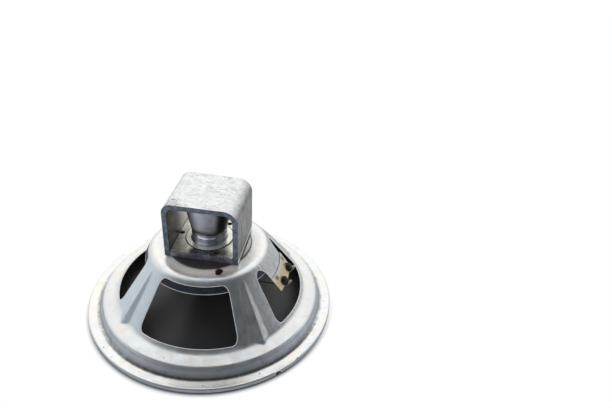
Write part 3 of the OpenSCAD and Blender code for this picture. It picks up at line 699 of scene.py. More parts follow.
def disc_steel():
    """Plated like the hub, with painted brown shade on its front under the open side of the yoke, and
    painted shadow lines at its rim and beside the yoke's legs.
    """
    p = Paint("disc_steel", 0.7, 0.4)
    x, y, _ = p.split()
    clouds = p.noise(9, 5, 0.65)
    p.coat(p.shades(clouds, 0.35, 0.68, (0.62, 0.62, 0.60), (0.86, 0.86, 0.84)))
    # Painted shade, brown, on the front under the open side of the yoke
    p.tint(p.shades(clouds, 0.35, 0.68, (0.48, 0.42, 0.42), (0.66, 0.58, 0.56)),
           p.range(p.plus(y, p.times(clouds, 8.0)), -22, -30))
    # Painted shadow lines at the disc's rim and beside the yoke's legs
    contact_shade = p.math("MAXIMUM", p.range(p.apart(x), YOKE_HALF_W + 2.2, YOKE_HALF_W + 1.0),
                  p.range(p.radius(), DISC_R - 1.5, DISC_R - 1.0))
    p.tint((0.04, 0.04, 0.045), contact_shade, 0.9)
    p.bump(p.noise(1.2, 4, 0.65), 0.06)
    return p


def magnet_alloy():
    """Cast alloy, with a painted highlight on its left front and painted shade on its left back, towards its
    foot and on its right.
    """
    p = Paint("magnet_alloy", 0.6)
    turn = p.angle()
    clouds = p.noise(12, 5, 0.6, warp=0.5)
    p.coat(p.shades(clouds, 0.35, 0.66, (0.31, 0.33, 0.39), (0.46, 0.49, 0.56)))
    # Painted highlight on the left front
    p.tint((0.64, 0.68, 0.76), p.range(turn, -136, -114), p.range(turn, -70, -108), 0.75)
    # Painted shade on the left back
    p.tint((0.13, 0.14, 0.18), p.range(turn, -126, -140))
    # Painted shade towards the foot
    p.tint((0.17, 0.17, 0.15), p.range(p.split()[2], POLE_TOP + 9, POLE_TOP + 3))
    # Painted shade on the right, in streaks
    streaks = p.noise(1.0, 4, 0.6, p.polar(4, 1.0, 0.9))
    p.tint(p.shades(streaks, 0.4, 0.6, (0.02, 0.02, 0.025), (0.06, 0.06, 0.07)), p.range(turn, -64, -44))
    p.dull(p.noise(3, 4, 0.6), 0.3, 0.42)
    p.bump(p.noise(1.0, 4, 0.65), 0.05)
    return p


def turned_metal(name, metallic, roughness, dark, light):
    """Metal with fine rings from turning or drawing."""
    p = Paint(name, metallic)
    rings = p.noise(1.0, 3, 0.6, p.polar(0.6, 2.2, 2.2))
    p.coat(p.shades(p.noise(10, 4, 0.6), 0.35, 0.68, dark, light))
    p.dull(rings, roughness - 0.05, roughness + 0.08)
    p.bump(rings, 0.015)
    return p


def can_metal():
    """Drawn metal, with painted dark reflections of the strap's legs in two bands, and a paler flange."""
    p = Paint("can_metal", 0.7)
    turn = p.angle()
    rings = p.noise(1.0, 2, 0.5, p.polar(0.5, 0.7, 0.7))
    clouds = p.noise(10, 4, 0.6)
    p.coat(p.shades(clouds, 0.35, 0.68, (0.70, 0.76, 0.88), (0.86, 0.91, 1.0)))
    # Painted dark reflections of the strap's legs, in two bands about the can
    dark = [p.times(p.range(turn, a - soft, a + soft), p.range(turn, b + soft, b - soft))
            for a, b, soft in ((-165, -124, 6), (-84, -44, 9))]
    p.tint((0.14, 0.16, 0.21), p.math("MAXIMUM", *dark), 0.8)
    p.tint(p.shades(clouds, 0.35, 0.65, (0.93, 0.92, 0.86), (1.0, 0.99, 0.95)),
           p.range(p.radius(), CAN_R - 6.5, CAN_R - 5))
    p.dull(rings, 0.17, 0.27)
    p.bump(rings, 0.01)
    return p


def gasket_fibre():
    """Pressed orange fibre, nearly black on its outer edge."""
    p = Paint("gasket_fibre", roughness=0.85)
    fibres = p.noise(1.0, 5, 0.7, p.polar(38, 1.5, 1.3), 0.8)
    p.coat(p.shades(fibres, 0.32, 0.68, (0.62, 0.27, 0.09), (0.89, 0.46, 0.19)))
    p.tint((0.93, 0.60, 0.33), p.range(p.noise(16, 4, 0.6), 0.5, 0.72), 0.45)
    p.tint((0.25, 0.10, 0.04), p.range(p.cells(2.4, p.polar(60)), 0.2, 0.08), 0.6)
    p.tint((0.035, 0.028, 0.022), p.range(p.radius(), GASKET_OUT - 0.9, GASKET_OUT - 0.35),
           p.range(p.noise(2, 4), 0.2, 0.4, 0.75, 1.0))
    p.bump(fibres, 0.18)
    p.bump(p.noise(0.5, 4, 0.7), 0.05)
    return p


def cloth(name, colour, light, weave=0.55, glue_r=None):
    """Woven cloth, with a dark edge of glue outside glue_r."""
    p = Paint(name, roughness=0.8, Sheen_Weight=0.2, Sheen_Roughness=0.5)
    x, y, _ = p.split()
    threads = [p.math("SINE", p.times(axis, 2 * math.pi / weave)) for axis in (x, y)]
    weft = p.range(p.times(*threads), -1.0, 1.0, soft=False)
    fuzz = p.noise(1.3, 4, 0.7)
    p.coat(p.mix(p.times(weft, fuzz), colour, light))
    if glue_r:
        p.tint((0.02, 0.022, 0.03), p.range(p.radius(), glue_r, glue_r + 0.8))
    p.bump(weft, 0.06)
    p.bump(fuzz, 0.06)
    return p


def cone_paper():
    """Black paper pulp, with the fine dots of the screen on which it was felted."""
    p = Paint("cone_paper", Specular_IOR_Level=0.9)
    around, across, dot = 95, 1.0, 2 * math.pi / 1.25
    a, r, _ = p.split(p.polar(around, across, 0.0))
    dots = p.range(p.times(*(p.math("SINE", p.times(axis, dot)) for axis in (a, r))), -0.2, 0.9)
    pulp = p.noise(5, 5, 0.7)
    p.coat(p.shades(pulp, 0.3, 0.7, (0.0035, 0.0035, 0.004), (0.007, 0.007, 0.008)))
    # Painted sheen: the dots lighter on the left and the right sides, where light falls
    lit = p.math("MAXIMUM", p.range(p.angle(), -84, -112), p.range(p.angle(), -52, -12))
    p.tint((0.15, 0.148, 0.155), dots, p.range(lit, 0.0, 1.0, 0.12, 1.0))
    p.dull(pulp, 0.42, 0.56)
    p.bump(dots, 0.13)
    p.bump(p.noise(1.4, 4, 0.7), 0.07)
    return p


def board_fibre():
    """Tan fibre board, grey on its inner side and rusty about its rivets."""
    p = Paint("board_fibre", Coat_Weight=0.15, Coat_Roughness=0.35)
    layers = p.noise(1.0, 4, 0.6, p.polar(60, 0.6, 0.5))
    clouds = p.noise(7, 4, 0.6)
    p.coat(p.shades(layers, 0.3, 0.7, (0.50, 0.39, 0.23), (0.72, 0.60, 0.40)))
    p.tint((0.46, 0.31, 0.18), p.range(clouds, 0.52, 0.7), 0.5)
    inner = p.plus(p.radius(), p.times(clouds, 4.0))
    p.tint((0.62, 0.62, 0.58), p.range(inner, BOARD_OUT - 3.0, BOARD_IN + 1.5))
    p.tint((0.30, 0.15, 0.07), p.near(BOARD_RUST, 0.2), p.range(clouds, 0.35, 0.6, 0.2, 0.8))
    p.bump(layers, 0.03)
    return p


def plain_metal(name, dark, light, roughness, metallic=0.9, relief=0.05, size=2.0):
    p = Paint(name, metallic)
    clouds = p.noise(size, 5, 0.65, warp=0.5)
    p.coat(p.shades(clouds, 0.36, 0.64, dark, light))
    p.dull(clouds, roughness + 0.12, roughness - 0.06)
    p.bump(clouds, relief)
    return p


def black_varnish():
    """Black varnish, rusty in places and dusty in others."""
    p = Paint("black_varnish", Specular_IOR_Level=0.14)
    dust = p.range(p.noise(1.2, 5, 0.7), 0.56, 0.68)
    p.coat(p.shades(p.noise(3.5, 4, 0.6), 0.5, 0.66, (0.006, 0.005, 0.007), (0.045, 0.018, 0.014)))
    p.tint((0.14, 0.14, 0.14), dust, 0.6)
    p.set("Roughness", p.range(dust, 0.0, 1.0, 0.26, 0.7))
    p.bump(p.noise(1.2, 4, 0.6), 0.35)
    return p


def cap_felt():
    p = Paint("cap_felt", roughness=0.72, Sheen_Weight=0.25, Sheen_Roughness=0.5)
    fuzz = p.noise(0.9, 5, 0.75)
    p.coat(p.shades(p.noise(7, 4, 0.6), 0.35, 0.68, (0.014, 0.014, 0.015), (0.030, 0.030, 0.032)))
    p.tint((0.06, 0.06, 0.062), p.range(fuzz, 0.5, 0.7))
    p.bump(fuzz, 0.12)
    return p


def layered(name, metallic, roughness, noise, scales, ends, dark, light, relief, **others):
    """A paint with layers or turns about the axis. Scales are those of polar."""
    p = Paint(name, metallic, roughness, **others)
    layers = p.noise(1.0, *noise, p.polar(*scales))
    p.coat(p.shades(layers, *ends, dark, light))
    p.bump(layers, relief)
    return p


def lead_braid():
    p = Paint("lead_braid", 0.2, 0.55)
    strands = p.noise(0.35, 3, 0.6)
    p.coat(p.mix(strands, (0.02, 0.016, 0.016), (0.10, 0.08, 0.075)))
    p.bump(strands, 0.05)
    return p


# The basket

BASKET_PATH = rounded([
    (RIM_R, LIP_Z + SHEET / 2, 0), (RIM_R, FLANGE_Z, 2), (*WALL_FOOT, 3), (*WALL_TOP, 5), (*SPOKE_FOOT, 12),
    (HUB_R, HUB_Z, 14), (HUB_HOLE_R + SHEET / 2, HUB_Z, 0)], closed=False, turn_deg=6)


def both(a, b):
    """The larger of two distances, rounded by WINDOW_CORNER where they meet."""
    a, b = a + WINDOW_CORNER, b + WINDOW_CORNER
    return np.hypot(np.maximum(a, 0), np.maximum(b, 0)) + np.minimum(np.maximum(a, b), 0) - WINDOW_CORNER


def window_distance(x, y):
    """Distance in plan to the edge of the window about +X, negative inside it."""
    r, angle = np.hypot(x, y), np.abs(np.arctan2(y, x))
    side = r * np.sin(angle - math.radians(WINDOW_HALF_DEG))
    side = np.where(angle > math.radians(WINDOW_HALF_DEG + 60), r, side)
    return both(side, np.abs(r - (WINDOW_IN_R + WINDOW_OUT_R) / 2) - (WINDOW_OUT_R - WINDOW_IN_R) / 2)


def off_tongue(x, y):
    """Distance in plan to the edge of the terminal tongue, negative beside it."""
    slope = (TONGUE_ROOT[1] - TONGUE_END[1]) / (TONGUE_END[0] - TONGUE_ROOT[0])
    half = TONGUE_ROOT[1] - (x - TONGUE_ROOT[0]) * slope
    return -np.maximum(np.abs(y) - half, x - TONGUE_END[0])


def metal_distance(r, angle):
    """Distance in plan to the nearest edge of the sheet, negative where there is no metal."""
    x, y = r * np.cos(angle), r * np.sin(angle)
    there = both(window_distance(x, y), off_tongue(x, y))
    for c, s in ((0, 1), (-1, 0), (0, -1)):
        there = np.minimum(there, window_distance(x * c + y * s, y * c - x * s))
    return there - SHEET / 2


def rib_lift(path, angle):
    """How far the roof shaped ribs lift the sheet, at each angle and point of the path."""
    spoke = np.radians(45 + 90 * np.round((np.degrees(angle) - 45) / 90))
    side = path[:, 0] * np.sin(angle - spoke)
    offset = path - [HUB_R, HUB_Z]
    over = offset @ SPOKE_OUT
    down = offset @ SPOKE_DOWN - (RIB_START - HUB_R) / math.cos(TILT)
    full = (SPOKE_FOOT[0] - RIB_START) / math.cos(TILT) + 6
    grown = np.clip(down / full, 0.02, 1.0) ** 0.6
    crest = np.sqrt(side ** 2 + 1.1) - 0.5
    rise = RIB_H * grown * (1 - crest / (RIB_HALF * np.maximum(grown, 0.3))) - over
    blunt = 0.5
    lift = (rise + np.sqrt(rise ** 2 + blunt ** 2)) / 2
    return lift * step(-3, 6, down) * step(full + 10, full - 2, down)


def basket():
    """The pressed sheet: its path turned about the axis, dented, ribbed and cut."""
    path = refined(BASKET_PATH, 1.5)
    out = -left_of(path)
    angle = np.radians(np.arange(BASKET_AROUND) * 360 / BASKET_AROUND)[:, None]
    r, z = (np.broadcast_to(path[:, k], (BASKET_AROUND, len(path))) for k in (0, 1))
    arc = RIM_R * np.radians((np.degrees(angle) - LEDGE_TURN_DEG + 180) % 360 - 180)
    in_break = np.maximum(np.abs(arc + LEDGE_LEN / 2 - LIP_BREAK / 2) - LIP_BREAK / 2, (RIM_R - SHEET) - r)
    metal = np.minimum(metal_distance(r, angle), np.where(z < FLANGE_Z + 1, in_break + 0.01, 99)).ravel()
    flat = turned(r, angle, z)
    dents = 0.12 * lumps(flat, 38, 3) + 0.05 * lumps(flat, 14, 4) - 0.12
    lift = rib_lift(path, angle) + dents * step(RIM_R - 1, RIM_R - 6, r) * step(HUB_Z - 0.01, HUB_Z - 6, z)
    ledge = step(LEDGE_LEN / 2 + 0.5, LEDGE_LEN / 2 - 0.5, np.abs(arc))
    ledge = ledge * step(RIM_R - LEDGE_W - 0.5, RIM_R - LEDGE_W, r) * step(LIP_Z, FLANGE_Z - 1, z)
    points = turned(r + lift * out[:, 0], angle, z + lift * out[:, 1] - LEDGE_DROP * ledge).reshape(-1, 3)
    normal = turned(out[:, 0], angle, out[:, 1]).reshape(-1, 3)
    faces, cuts = clipped(metal, grid_faces(BASKET_AROUND, len(path), close_rows=True))
    kept, lost = np.array(list(cuts), int).T
    share = (metal[kept] / (metal[kept] - metal[lost]))[:, None]
    points, normal = (np.concatenate([v, v[kept] * (1 - share) + v[lost] * share]) for v in (points, normal))
    return thickened(points, unit(normal), faces, SHEET)


# The gasket, the cone and what bends

def gasket_arc(i):
    """One arc of pressed fibre. Its ends are cut square and are a little crumbled."""
    outline = ring_outline(GASKET_IN, GASKET_OUT, 0, GASKET_T, 0.5, 1.2)
    count, rows = len(outline), 160
    r, z = outline.T
    crumbs = [0.9 * lumps(np.stack([r, z, 0 * r + 50 * i], 1), 2.2, 20 + side) for side in (0, 1)]
    half = math.pi / 4
    first = -half + np.arcsin((GASKET_GAP[i - 1] / 2 + 0.9 + crumbs[0]) / r)
    last = half - np.arcsin((GASKET_GAP[i] / 2 + 0.9 + crumbs[1]) / r)
    share = np.linspace(0, 1, rows)[:, None]
    points = turned(r, math.radians(GASKET_MID_DEG[i]) + first * (1 - share) + last * share, z)
    points = np.concatenate([points.reshape(-1, 3), points[[0, -1]].mean(axis=1)])
    faces = grid_faces(rows, count, False, True)
    end = (rows - 1) * count
    for k in range(count):
        after = (k + 1) % count
        faces += [[k, after, rows * count], [end + after, end + k, rows * count + 1]]
    points, faces = rough(rough((points, faces), 5, 0.25, 31 + i, True), 1.3, 0.18, 41 + i, True)
    points[:, 2] = np.clip(points[:, 2], 0, GASKET_T)
    return points, faces


def surround_outline():
    s = np.linspace(0, 1, 41)
    rolls = np.stack([ROLL_IN + (ROLL_OUT - ROLL_IN) * s, GASKET_T - ROLL_AMP * np.sin(4 * math.pi * s)], 1)
    return sheet_outline([[[CONE_R, GASKET_T]], rolls, [[SURROUND_OUT, GASKET_T]]], ROLL_T)


def spider_outline():
    s = np.linspace(1, 0, 97)
    roll_r = SPIDER_ROLLS[1] + (SPIDER_ROLLS[0] - SPIDER_ROLLS[1]) * s
    rolls = np.stack([roll_r, SPIDER_Z + SPIDER_AMP * np.sin(12 * math.pi * s)], 1)
    neck = [[SPIDER_IN, SPIDER_Z + 3], [SPIDER_IN, SPIDER_Z + 0.6], [SPIDER_IN + 0.5, SPIDER_Z]]
    return sheet_outline([neck, rolls, [[SPIDER_OUT, SPIDER_Z]]], SPIDER_T)


def bending_ring(name, outline, sectors, steps, paint):
    """A ring in equal sectors, one piece each, between the frame and the cone."""
    sweep = 360 / sectors
    for i in range(sectors):
        made = lathe(outline, steps, sweep * (i - 0.5), sweep)
        sector = piece(f"{name}_{i + 1:02d}", made, paint, name, None)
        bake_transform(sector)


def cone_u(r):
    return (CONE_R - r) / (CONE_R - NECK_R)


def cone_back_z(r):
    return GASKET_T + CONE_H * (0.8 * cone_u(r) + 0.2 * cone_u(r) ** 2)


def cone_tilt(r):
    return np.arctan(CONE_H * (0.8 + 0.4 * cone_u(r)) / (CONE_R - NECK_R))


def cone():
    r = np.linspace(NECK_R, CONE_R, 61)
    front = np.stack([r, cone_back_z(r) - PAPER / np.cos(cone_tilt(r))], 1)
    r = r[::-1][:-1]
    back = np.stack([r, cone_back_z(r)], 1)[r > NECK_R + 1.6]
    neck = NECK_R + PAPER
    outline = np.concatenate([front, [[ROLL_IN, GASKET_T - PAPER], [ROLL_IN, GASKET_T]], back,
                              [[neck + 0.5, cone_back_z(neck) + 0.5], [neck + 0.15, cone_back_z(neck) + 1.2],
                               [neck, NECK_TOP - 0.2], [neck - 0.2, NECK_TOP], [NECK_R, NECK_TOP]]])
    points, faces = lathe(outline, 300)
    r = np.hypot(points[:, 0], points[:, 1])
    between = step(CONE_R, CONE_R - 4, r) * step(NECK_R + 1, NECK_R + 6, r)
    points[:, 2] += 0.07 * lumps(points, 9, 7) * between
    return points, faces


def dust_cap():
    edge_r, bottom, thick = high("dust_cap")[0], low("dust_cap")[2], 0.7 * PAPER
    rise = high("dust_cap")[2] - thick - bottom
    ball = (edge_r ** 2 + rise ** 2) / (2 * rise)
    a = np.linspace(0, math.asin(edge_r / ball), 24)
    front = np.stack([ball * np.sin(a), bottom + ball * (1 - np.cos(a))], 1)
    return lathe(np.concatenate([front, (front * [0.985, 1] + [0, thick])[::-1]]), 120)


def lead(side):
    """A braided lead from under a lug's eyelet to one on the cone's back, and its still and moving ends."""
    lean = cone_tilt(EYELET_R)
    face = np.array([math.sin(lean), 0, math.cos(lean)])
    out = np.array([SPOKE_OUT[0], 0, SPOKE_OUT[1]])
    start = np.array([EYELET_R, 0, cone_back_z(EYELET_R)]) + face * 0.5
    end = np.array([TERMINAL_R, 0, HUB_Z - (TERMINAL_R - HUB_R) * math.tan(TILT)]) - out * 0.9
    pulls = [(start, EYELET_TURN), (start + face * 10, EYELET_TURN),
             (end - out * 14 - [0, 0, 10], TERMINAL_TURN), (end, TERMINAL_TURN)]
    a, b, c, d = (np.array(Matrix.Rotation(side * turn, 3, "Z")) @ p for p, turn in pulls)
    rows, count = 220, 16
    t = np.linspace(0, 1, rows)[:, None]
    line = a * (1 - t) ** 3 + b * 3 * t * (1 - t) ** 2 + c * 3 * t ** 2 * (1 - t) + d * t ** 3
    along = unit(np.gradient(line, axis=0))
    across = unit(np.cross(along, [0, 1, 0.2]))
    up = np.cross(along, across)
    length = np.concatenate([[0], np.cumsum(np.linalg.norm(np.diff(line, axis=0), axis=1))])[:, None]
    turn = np.linspace(0, 2 * math.pi, count, endpoint=False)
    braid = 0.07 * np.sin(4 * turn + length * 2.2) * np.sin(4 * turn - length * 2.2)
    around = across[:, None, :] * np.cos(turn)[:, None] + up[:, None, :] * np.sin(turn)[:, None]
    points = line[:, None, :] + (LEAD_R + braid)[..., None] * around
    first, last = end_faces(rows, count)
    return (points.reshape(-1, 3), grid_faces(rows, count, False, True) + [first[::-1], last]), d, a


def add_suspension():
    black = cloth("black_cloth", (0.012, 0.012, 0.013), (0.05, 0.05, 0.052))
    brown = cloth("spider_cloth", (0.16, 0.085, 0.03), (0.33, 0.19, 0.08), 0.7, SPIDER_OUT - 4)
    bending_ring("surround", surround_outline(), SURROUND_SECTORS, 10, black)
    bending_ring("spider", spider_outline(), SPIDER_SECTORS, 12, brown)
    braid = lead_braid()
    for number, side in ((1, -1), (2, 1)):
        made, fixed, moving = lead(side)
        wire = piece(f"lead_{number}", made, braid, f"lead_wire_{number}", None)
        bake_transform(wire)


def add_moving(brass):
    piece("cone_body", cone(), cone_paper(), "cone", "diaphragm")
    piece("cap_dome", dust_cap(), cap_felt(), "dust_cap", "diaphragm")
    former = layered("former_paper", 0.0, 0.6, (4, 0.6), (12, 1.0, 2.0), (0.3, 0.7), (0.36, 0.24, 0.13),
                     (0.56, 0.42, 0.27), 0.02)
    piece("former_tube", lathe(ring_outline(*FORMER, 0.08)), former, "coil_former", "diaphragm")
    r_in, r_out, z, top = WINDING
    turns = []
    while z < top - 0.1:
        turns += [[r_out - 0.06, z], [r_out, z + WIRE / 2], [r_out - 0.06, z + WIRE]]
        z += WIRE
    copper = layered("copper_winding", 0.85, 0.3, (2, 0.5), (1.5, 1.0, 6.0), (0.35, 0.65),
                     (0.34, 0.10, 0.04), (0.66, 0.26, 0.11), 0.03, Coat_Weight=0.4, Coat_Roughness=0.15)
    outline = [[r_in, WINDING[2]], *turns, [r_in, top]]
    piece("coil_winding", lathe(outline, 120), copper, "voice_coil", "diaphragm")
    made = [placed(eyelet(-PAPER - 0.05, 0.05, 1.3, 2.3, 0.8),
                   Matrix.Rotation(side * EYELET_TURN, 4, "Z")
                   @ Matrix.Translation((EYELET_R, 0, cone_back_z(EYELET_R)))
                   @ Matrix.Rotation(float(cone_tilt(EYELET_R)), 4, "Y")) for side in (-1, 1)]
    piece("lead_eyelets", merged(made), brass, "cone_eyelets", "diaphragm")


# The motor

def can():
    """Drawn in one: a flange, two shallow grooves, a flat top with the pole's hole."""
    foot, wall, hole = 20.5, 21.5, 18.45
    top, room, sheet, bend = high("centring_can")[2], 110.7, 0.8, 1.5
    over = PLATE_TOP + sheet
    outline = [[foot, PLATE_TOP], [CAN_R - 0.2, PLATE_TOP], [CAN_R, PLATE_TOP + 0.2], [CAN_R, over - 0.25],
               [CAN_R - 0.25, over]]
    outline += [[wall + bend * (1 - math.cos(a)), over + bend * (1 - math.sin(a))]
                for a in np.radians([90, 70, 45, 20, 0])]
    for z in (PLATE_TOP + 4.6, top - 2.0):
        outline += [[wall - inward, z + up] for inward, up in ((0, -0.6), (0.2, -0.35), (0.45, -0.1),
                                                              (0.45, 0.1), (0.2, 0.35), (0, 0.6))]
    outline += [[wall, top - 0.4], [wall - 0.4, top], [hole, top], [hole, room], [foot, room]]
    return lathe(outline)


def cut_plate():
    """The pole plate, drilled for the coil and for its rivets, with rounded edges."""
    x, y = PLATE_HALF
    plan = ring_outline(-x, x, -y, y, 0.6)
    drop = 0.5
    levels = [(PLATE_Z, drop), (PLATE_Z + drop, 0), (PLATE_TOP - drop, 0), (PLATE_TOP, drop)]
    rings = [np.column_stack([plan * (1 - back / PLATE_HALF), np.full(len(plan), z)]) for z, back in levels]
    first, last = end_faces(len(rings), len(plan))
    faces = [face[::-1] for face in grid_faces(len(rings), len(plan), False, True) + [first]] + [last]
    # The plate's sides are painted dark blue-grey as a painted dark reflection; its top stays light
    edge = clouded("plate_edge", 0.6, 0.4, (8, 5, 0.65), (0.36, 0.66), (0.11, 0.11, 0.145),
                   (0.24, 0.23, 0.29), (1.4, 4, 0.65), 0.08)
    plate = piece("pole_plate_steel", (np.concatenate(rings), faces), [plate_steel(), edge], "pole_plate",
                  sharp_deg=30)
    middle = (PLATE_Z + PLATE_TOP) / 2
    drills = [(0, 0, COIL_HOLE_R, PLATE_Z - 1, PLATE_TOP + 1, 64)]
    for a in np.radians(PLATE_RIVET_DEG):
        spot = PLATE_RIVET_R * math.cos(a), PLATE_RIVET_R * math.sin(a)
        drills += [(*spot, RIVET_HEAD_HOLE_R, middle, PLATE_TOP + 1, 28),
                   (*spot, RIVET_PIN_HOLE_R, PLATE_Z - 1, middle + 0.5, 28)]
    for x, y, radius, z_low, z_high, steps in drills:
        points, faces = lathe([[0, z_low], [radius, z_low], [radius, z_high], [0, z_high]], steps)
        drill = piece("drill", (points + [x, y, 0], faces), edge)
        cut = plate.modifiers.new("cut", "BOOLEAN")
        cut.operation = "DIFFERENCE"
        cut.solver = "EXACT"
        cut.object = drill
        mesh = evaluated(plate)
        plate.modifiers.clear()
        plate.data = mesh
        bpy.data.objects.remove(drill)
    smooth(plate.data, 30)
    for polygon in plate.data.polygons:
        polygon.material_index = 0 if abs(polygon.normal.z) > 0.9 else 1


def yoke():
    """The strap's rounded section swept along the U. Faces of kind 0 are the outside, 1 the rest."""
    w = YOKE_HALF_W
    path = refined(rounded([(w, PLATE_Z, 0), (w, YOKE_TOP, BEND_RIGHT_R), (-w, YOKE_TOP, BEND_LEFT_R),
                            (-w, PLATE_Z, 0)], False, 6), 1.2)
    inward = left_of(path)
    depth, thick = ring_outline(-YOKE_HALF_D, YOKE_HALF_D, 0, STRAP, 0.7, 1.1).T
    rows, count = len(path), len(depth)
    flat = path[:, None, :] + inward[:, None, :] * thick[None, :, None]
    points = np.stack([flat[..., 0], np.broadcast_to(depth, (rows, count)), flat[..., 1]], -1)
    blisters = 0.55 * lumps(points, 5.5, 51) + 0.3 * lumps(points * [1, 1.6, 1], 2.6, 52) - 0.85
    worn = 0.35 * (lumps(points, 7, 53) - 1) / 2
    on_back = np.where(thick < 0.3, np.clip((YOKE_HALF_D - np.abs(depth)) / 2, 0, 1), 0)
    shift = blisters * 0.28 * on_back
    points[..., 0] -= shift * inward[:, None, 0]
    points[..., 2] -= shift * inward[:, None, 1]
    points[..., 1] += worn * np.sign(depth) * (np.abs(depth) > YOKE_HALF_D - 0.1)
    first, last = end_faces(rows, count)
    faces = [face[::-1] for face in grid_faces(rows, count, False, True)] + [first, last[::-1]]
    outer = (thick < 0.3) & (np.abs(depth) < YOKE_HALF_D - 0.3)
    kinds = np.where(np.broadcast_to(outer, (rows - 1, count)).ravel(), 0, 1).tolist() + [1, 1]
    return points.reshape(-1, 3), faces, kinds


def rivet(low_z, high_z, pin, head, head_h):
    """A solid rivet with domed heads, along its own Z."""
    bottom = dome(head, low_z, -head_h)[::-1]
    return lathe(np.concatenate([bottom, [[pin, low_z], [pin, high_z]], dome(head, high_z, head_h)]), 28)


def eyelet(low_z, high_z, pin, head, head_h, bore=0.6):
    """A hollow rivet with rolled heads, along its own Z."""
    foot, top = low_z - head_h, high_z + head_h
    return lathe(rounded([(bore, foot, 0.3), (head, foot, 0.35), (head, low_z, 0.1), (pin, low_z, 0),
                          (pin, high_z, 0), (head, high_z, 0.1), (head, top, 0.35), (bore, top, 0.3)],
                         turn_deg=30), 28)


def add_motor():
    bright = turned_metal("clamp_metal", 0.75, 0.3, (0.62, 0.64, 0.66), (0.78, 0.80, 0.81))
    piece("clamp_ring", lathe(ring_outline(*CLAMP, 0.2)), bright, "spider_clamp")
    foot, top = low("spider_ring")[2], high("spider_ring")[2]
    foot_r, top_r = (HUB_R + (HUB_Z - z) / math.tan(TILT) - 1.5 / math.sin(TILT) for z in (foot, top))
    outline = rounded([(CLAMP[0], foot, 0.4), (foot_r, foot, 0.5), (top_r, top, 0.4), (CLAMP[0], top, 0.4)],
                      turn_deg=22)
    board = clouded("ring_board", 0.0, 0.45, (6, 5, 0.65), (0.35, 0.7), (0.006, 0.008, 0.018),
                    (0.016, 0.019, 0.034), (0.9, 4, 0.7), 0.05)
    piece("blue_ring", lathe(refined(outline, 1.5, closed=True), 200), board, "spider_ring")
    disc = lathe(ring_outline(HUB_HOLE_R, DISC_R, HUB_Z, DISC_TOP, 0.4, 2.0), 180)
    piece("round_disc", rough(disc, 6, 0.08, 81, True), disc_steel(), "hub_disc")
    cut_plate()
    steel = clouded("dark_steel", 0.5, 0.46, (9, 5, 0.65), (0.35, 0.68), (0.07, 0.065, 0.07),
                    (0.15, 0.135, 0.13), (1.2, 4, 0.65), 0.06)
    rivets = [placed(rivet(HUB_Z - SHEET, PLATE_TOP - 4, 1.9, 2.9, 1.4),
                     Matrix.Rotation(math.radians(deg), 4, "Z") @ Matrix.Translation((PLATE_RIVET_R, 0, 0)))
              for deg in PLATE_RIVET_DEG]
    piece("disc_rivets", merged(rivets), steel, "plate_rivets")
    piece("yoke_strap", yoke(), [yoke_back(), yoke_edge()], "yoke", sharp_deg=50)
    slug_r, _, slug_z = high("magnet_slug")
    a = np.radians(np.linspace(0, 90, 10))
    bowl = np.stack([SLUG_FOOT_R + (SLUG_WAIST_R - SLUG_FOOT_R) * np.sin(a),
                     POLE_TOP + SLUG_ROUND_H * (1 - np.cos(a))], 1)
    slug = np.array([(0, POLE_TOP), *bowl, (slug_r, slug_z - SLUG_BEVEL_H), (SLUG_TOP_R, slug_z),
                     (0, slug_z)])
    slug = rough(lathe(refined(slug, 2, True)), 4, 0.12, 82, True)
    piece("slug_casting", slug, magnet_alloy(), "magnet_slug")
    pole_z, (head_r, head_h) = low("pole_piece")[2], POLE_HEAD
    pole = rounded([(0, pole_z, 0), (POLE_R, pole_z, 0.3), (POLE_R, POLE_TOP - head_h, 0),
                    (head_r, POLE_TOP - head_h, 0.1), (head_r, POLE_TOP, 0.2), (0, POLE_TOP, 0)],
                   turn_deg=30)
    black = turned_metal("pole_steel", 0.7, 0.4, (0.03, 0.03, 0.02), (0.10, 0.10, 0.06))
    piece("pole_turned", lathe(pole), black, "pole_piece")
    piece("can_drawn", can(), can_metal(), "centring_can")


# The terminals

def terminal_board():
    """A strip of the spoke cone with slanted ends."""
    r = np.linspace(BOARD_IN, BOARD_OUT, BOARD_ROWS)
    turn = np.zeros_like(r)
    for _ in range(8):
        turn = np.arcsin((BOARD_ROOT[1] + BOARD_SLOPE * (r * np.cos(turn) - BOARD_ROOT[0])) / r)
    angle = turn[:, None] * np.linspace(-1, 1, BOARD_COLUMNS)
    z = HUB_Z - (r - HUB_R) * math.tan(TILT)
    points = turned((r + SPOKE_OUT[0] * BOARD_TOP)[:, None], angle, (z + SPOKE_OUT[1] * BOARD_TOP)[:, None])
    points = points.reshape(-1, 3)
    points[:, :2] += 0.12 * lumps(points, 4, 61)[:, None]
    normal = turned(SPOKE_OUT[0], angle, SPOKE_OUT[1]).reshape(-1, 3)
    return thickened(points, normal, grid_faces(BOARD_ROWS, BOARD_COLUMNS), BOARD_T, 4)[:2]


def arc_points(radius, first, last, count):
    a = np.linspace(first, last, count)
    return radius * np.stack([np.cos(a), np.sin(a)], 1)


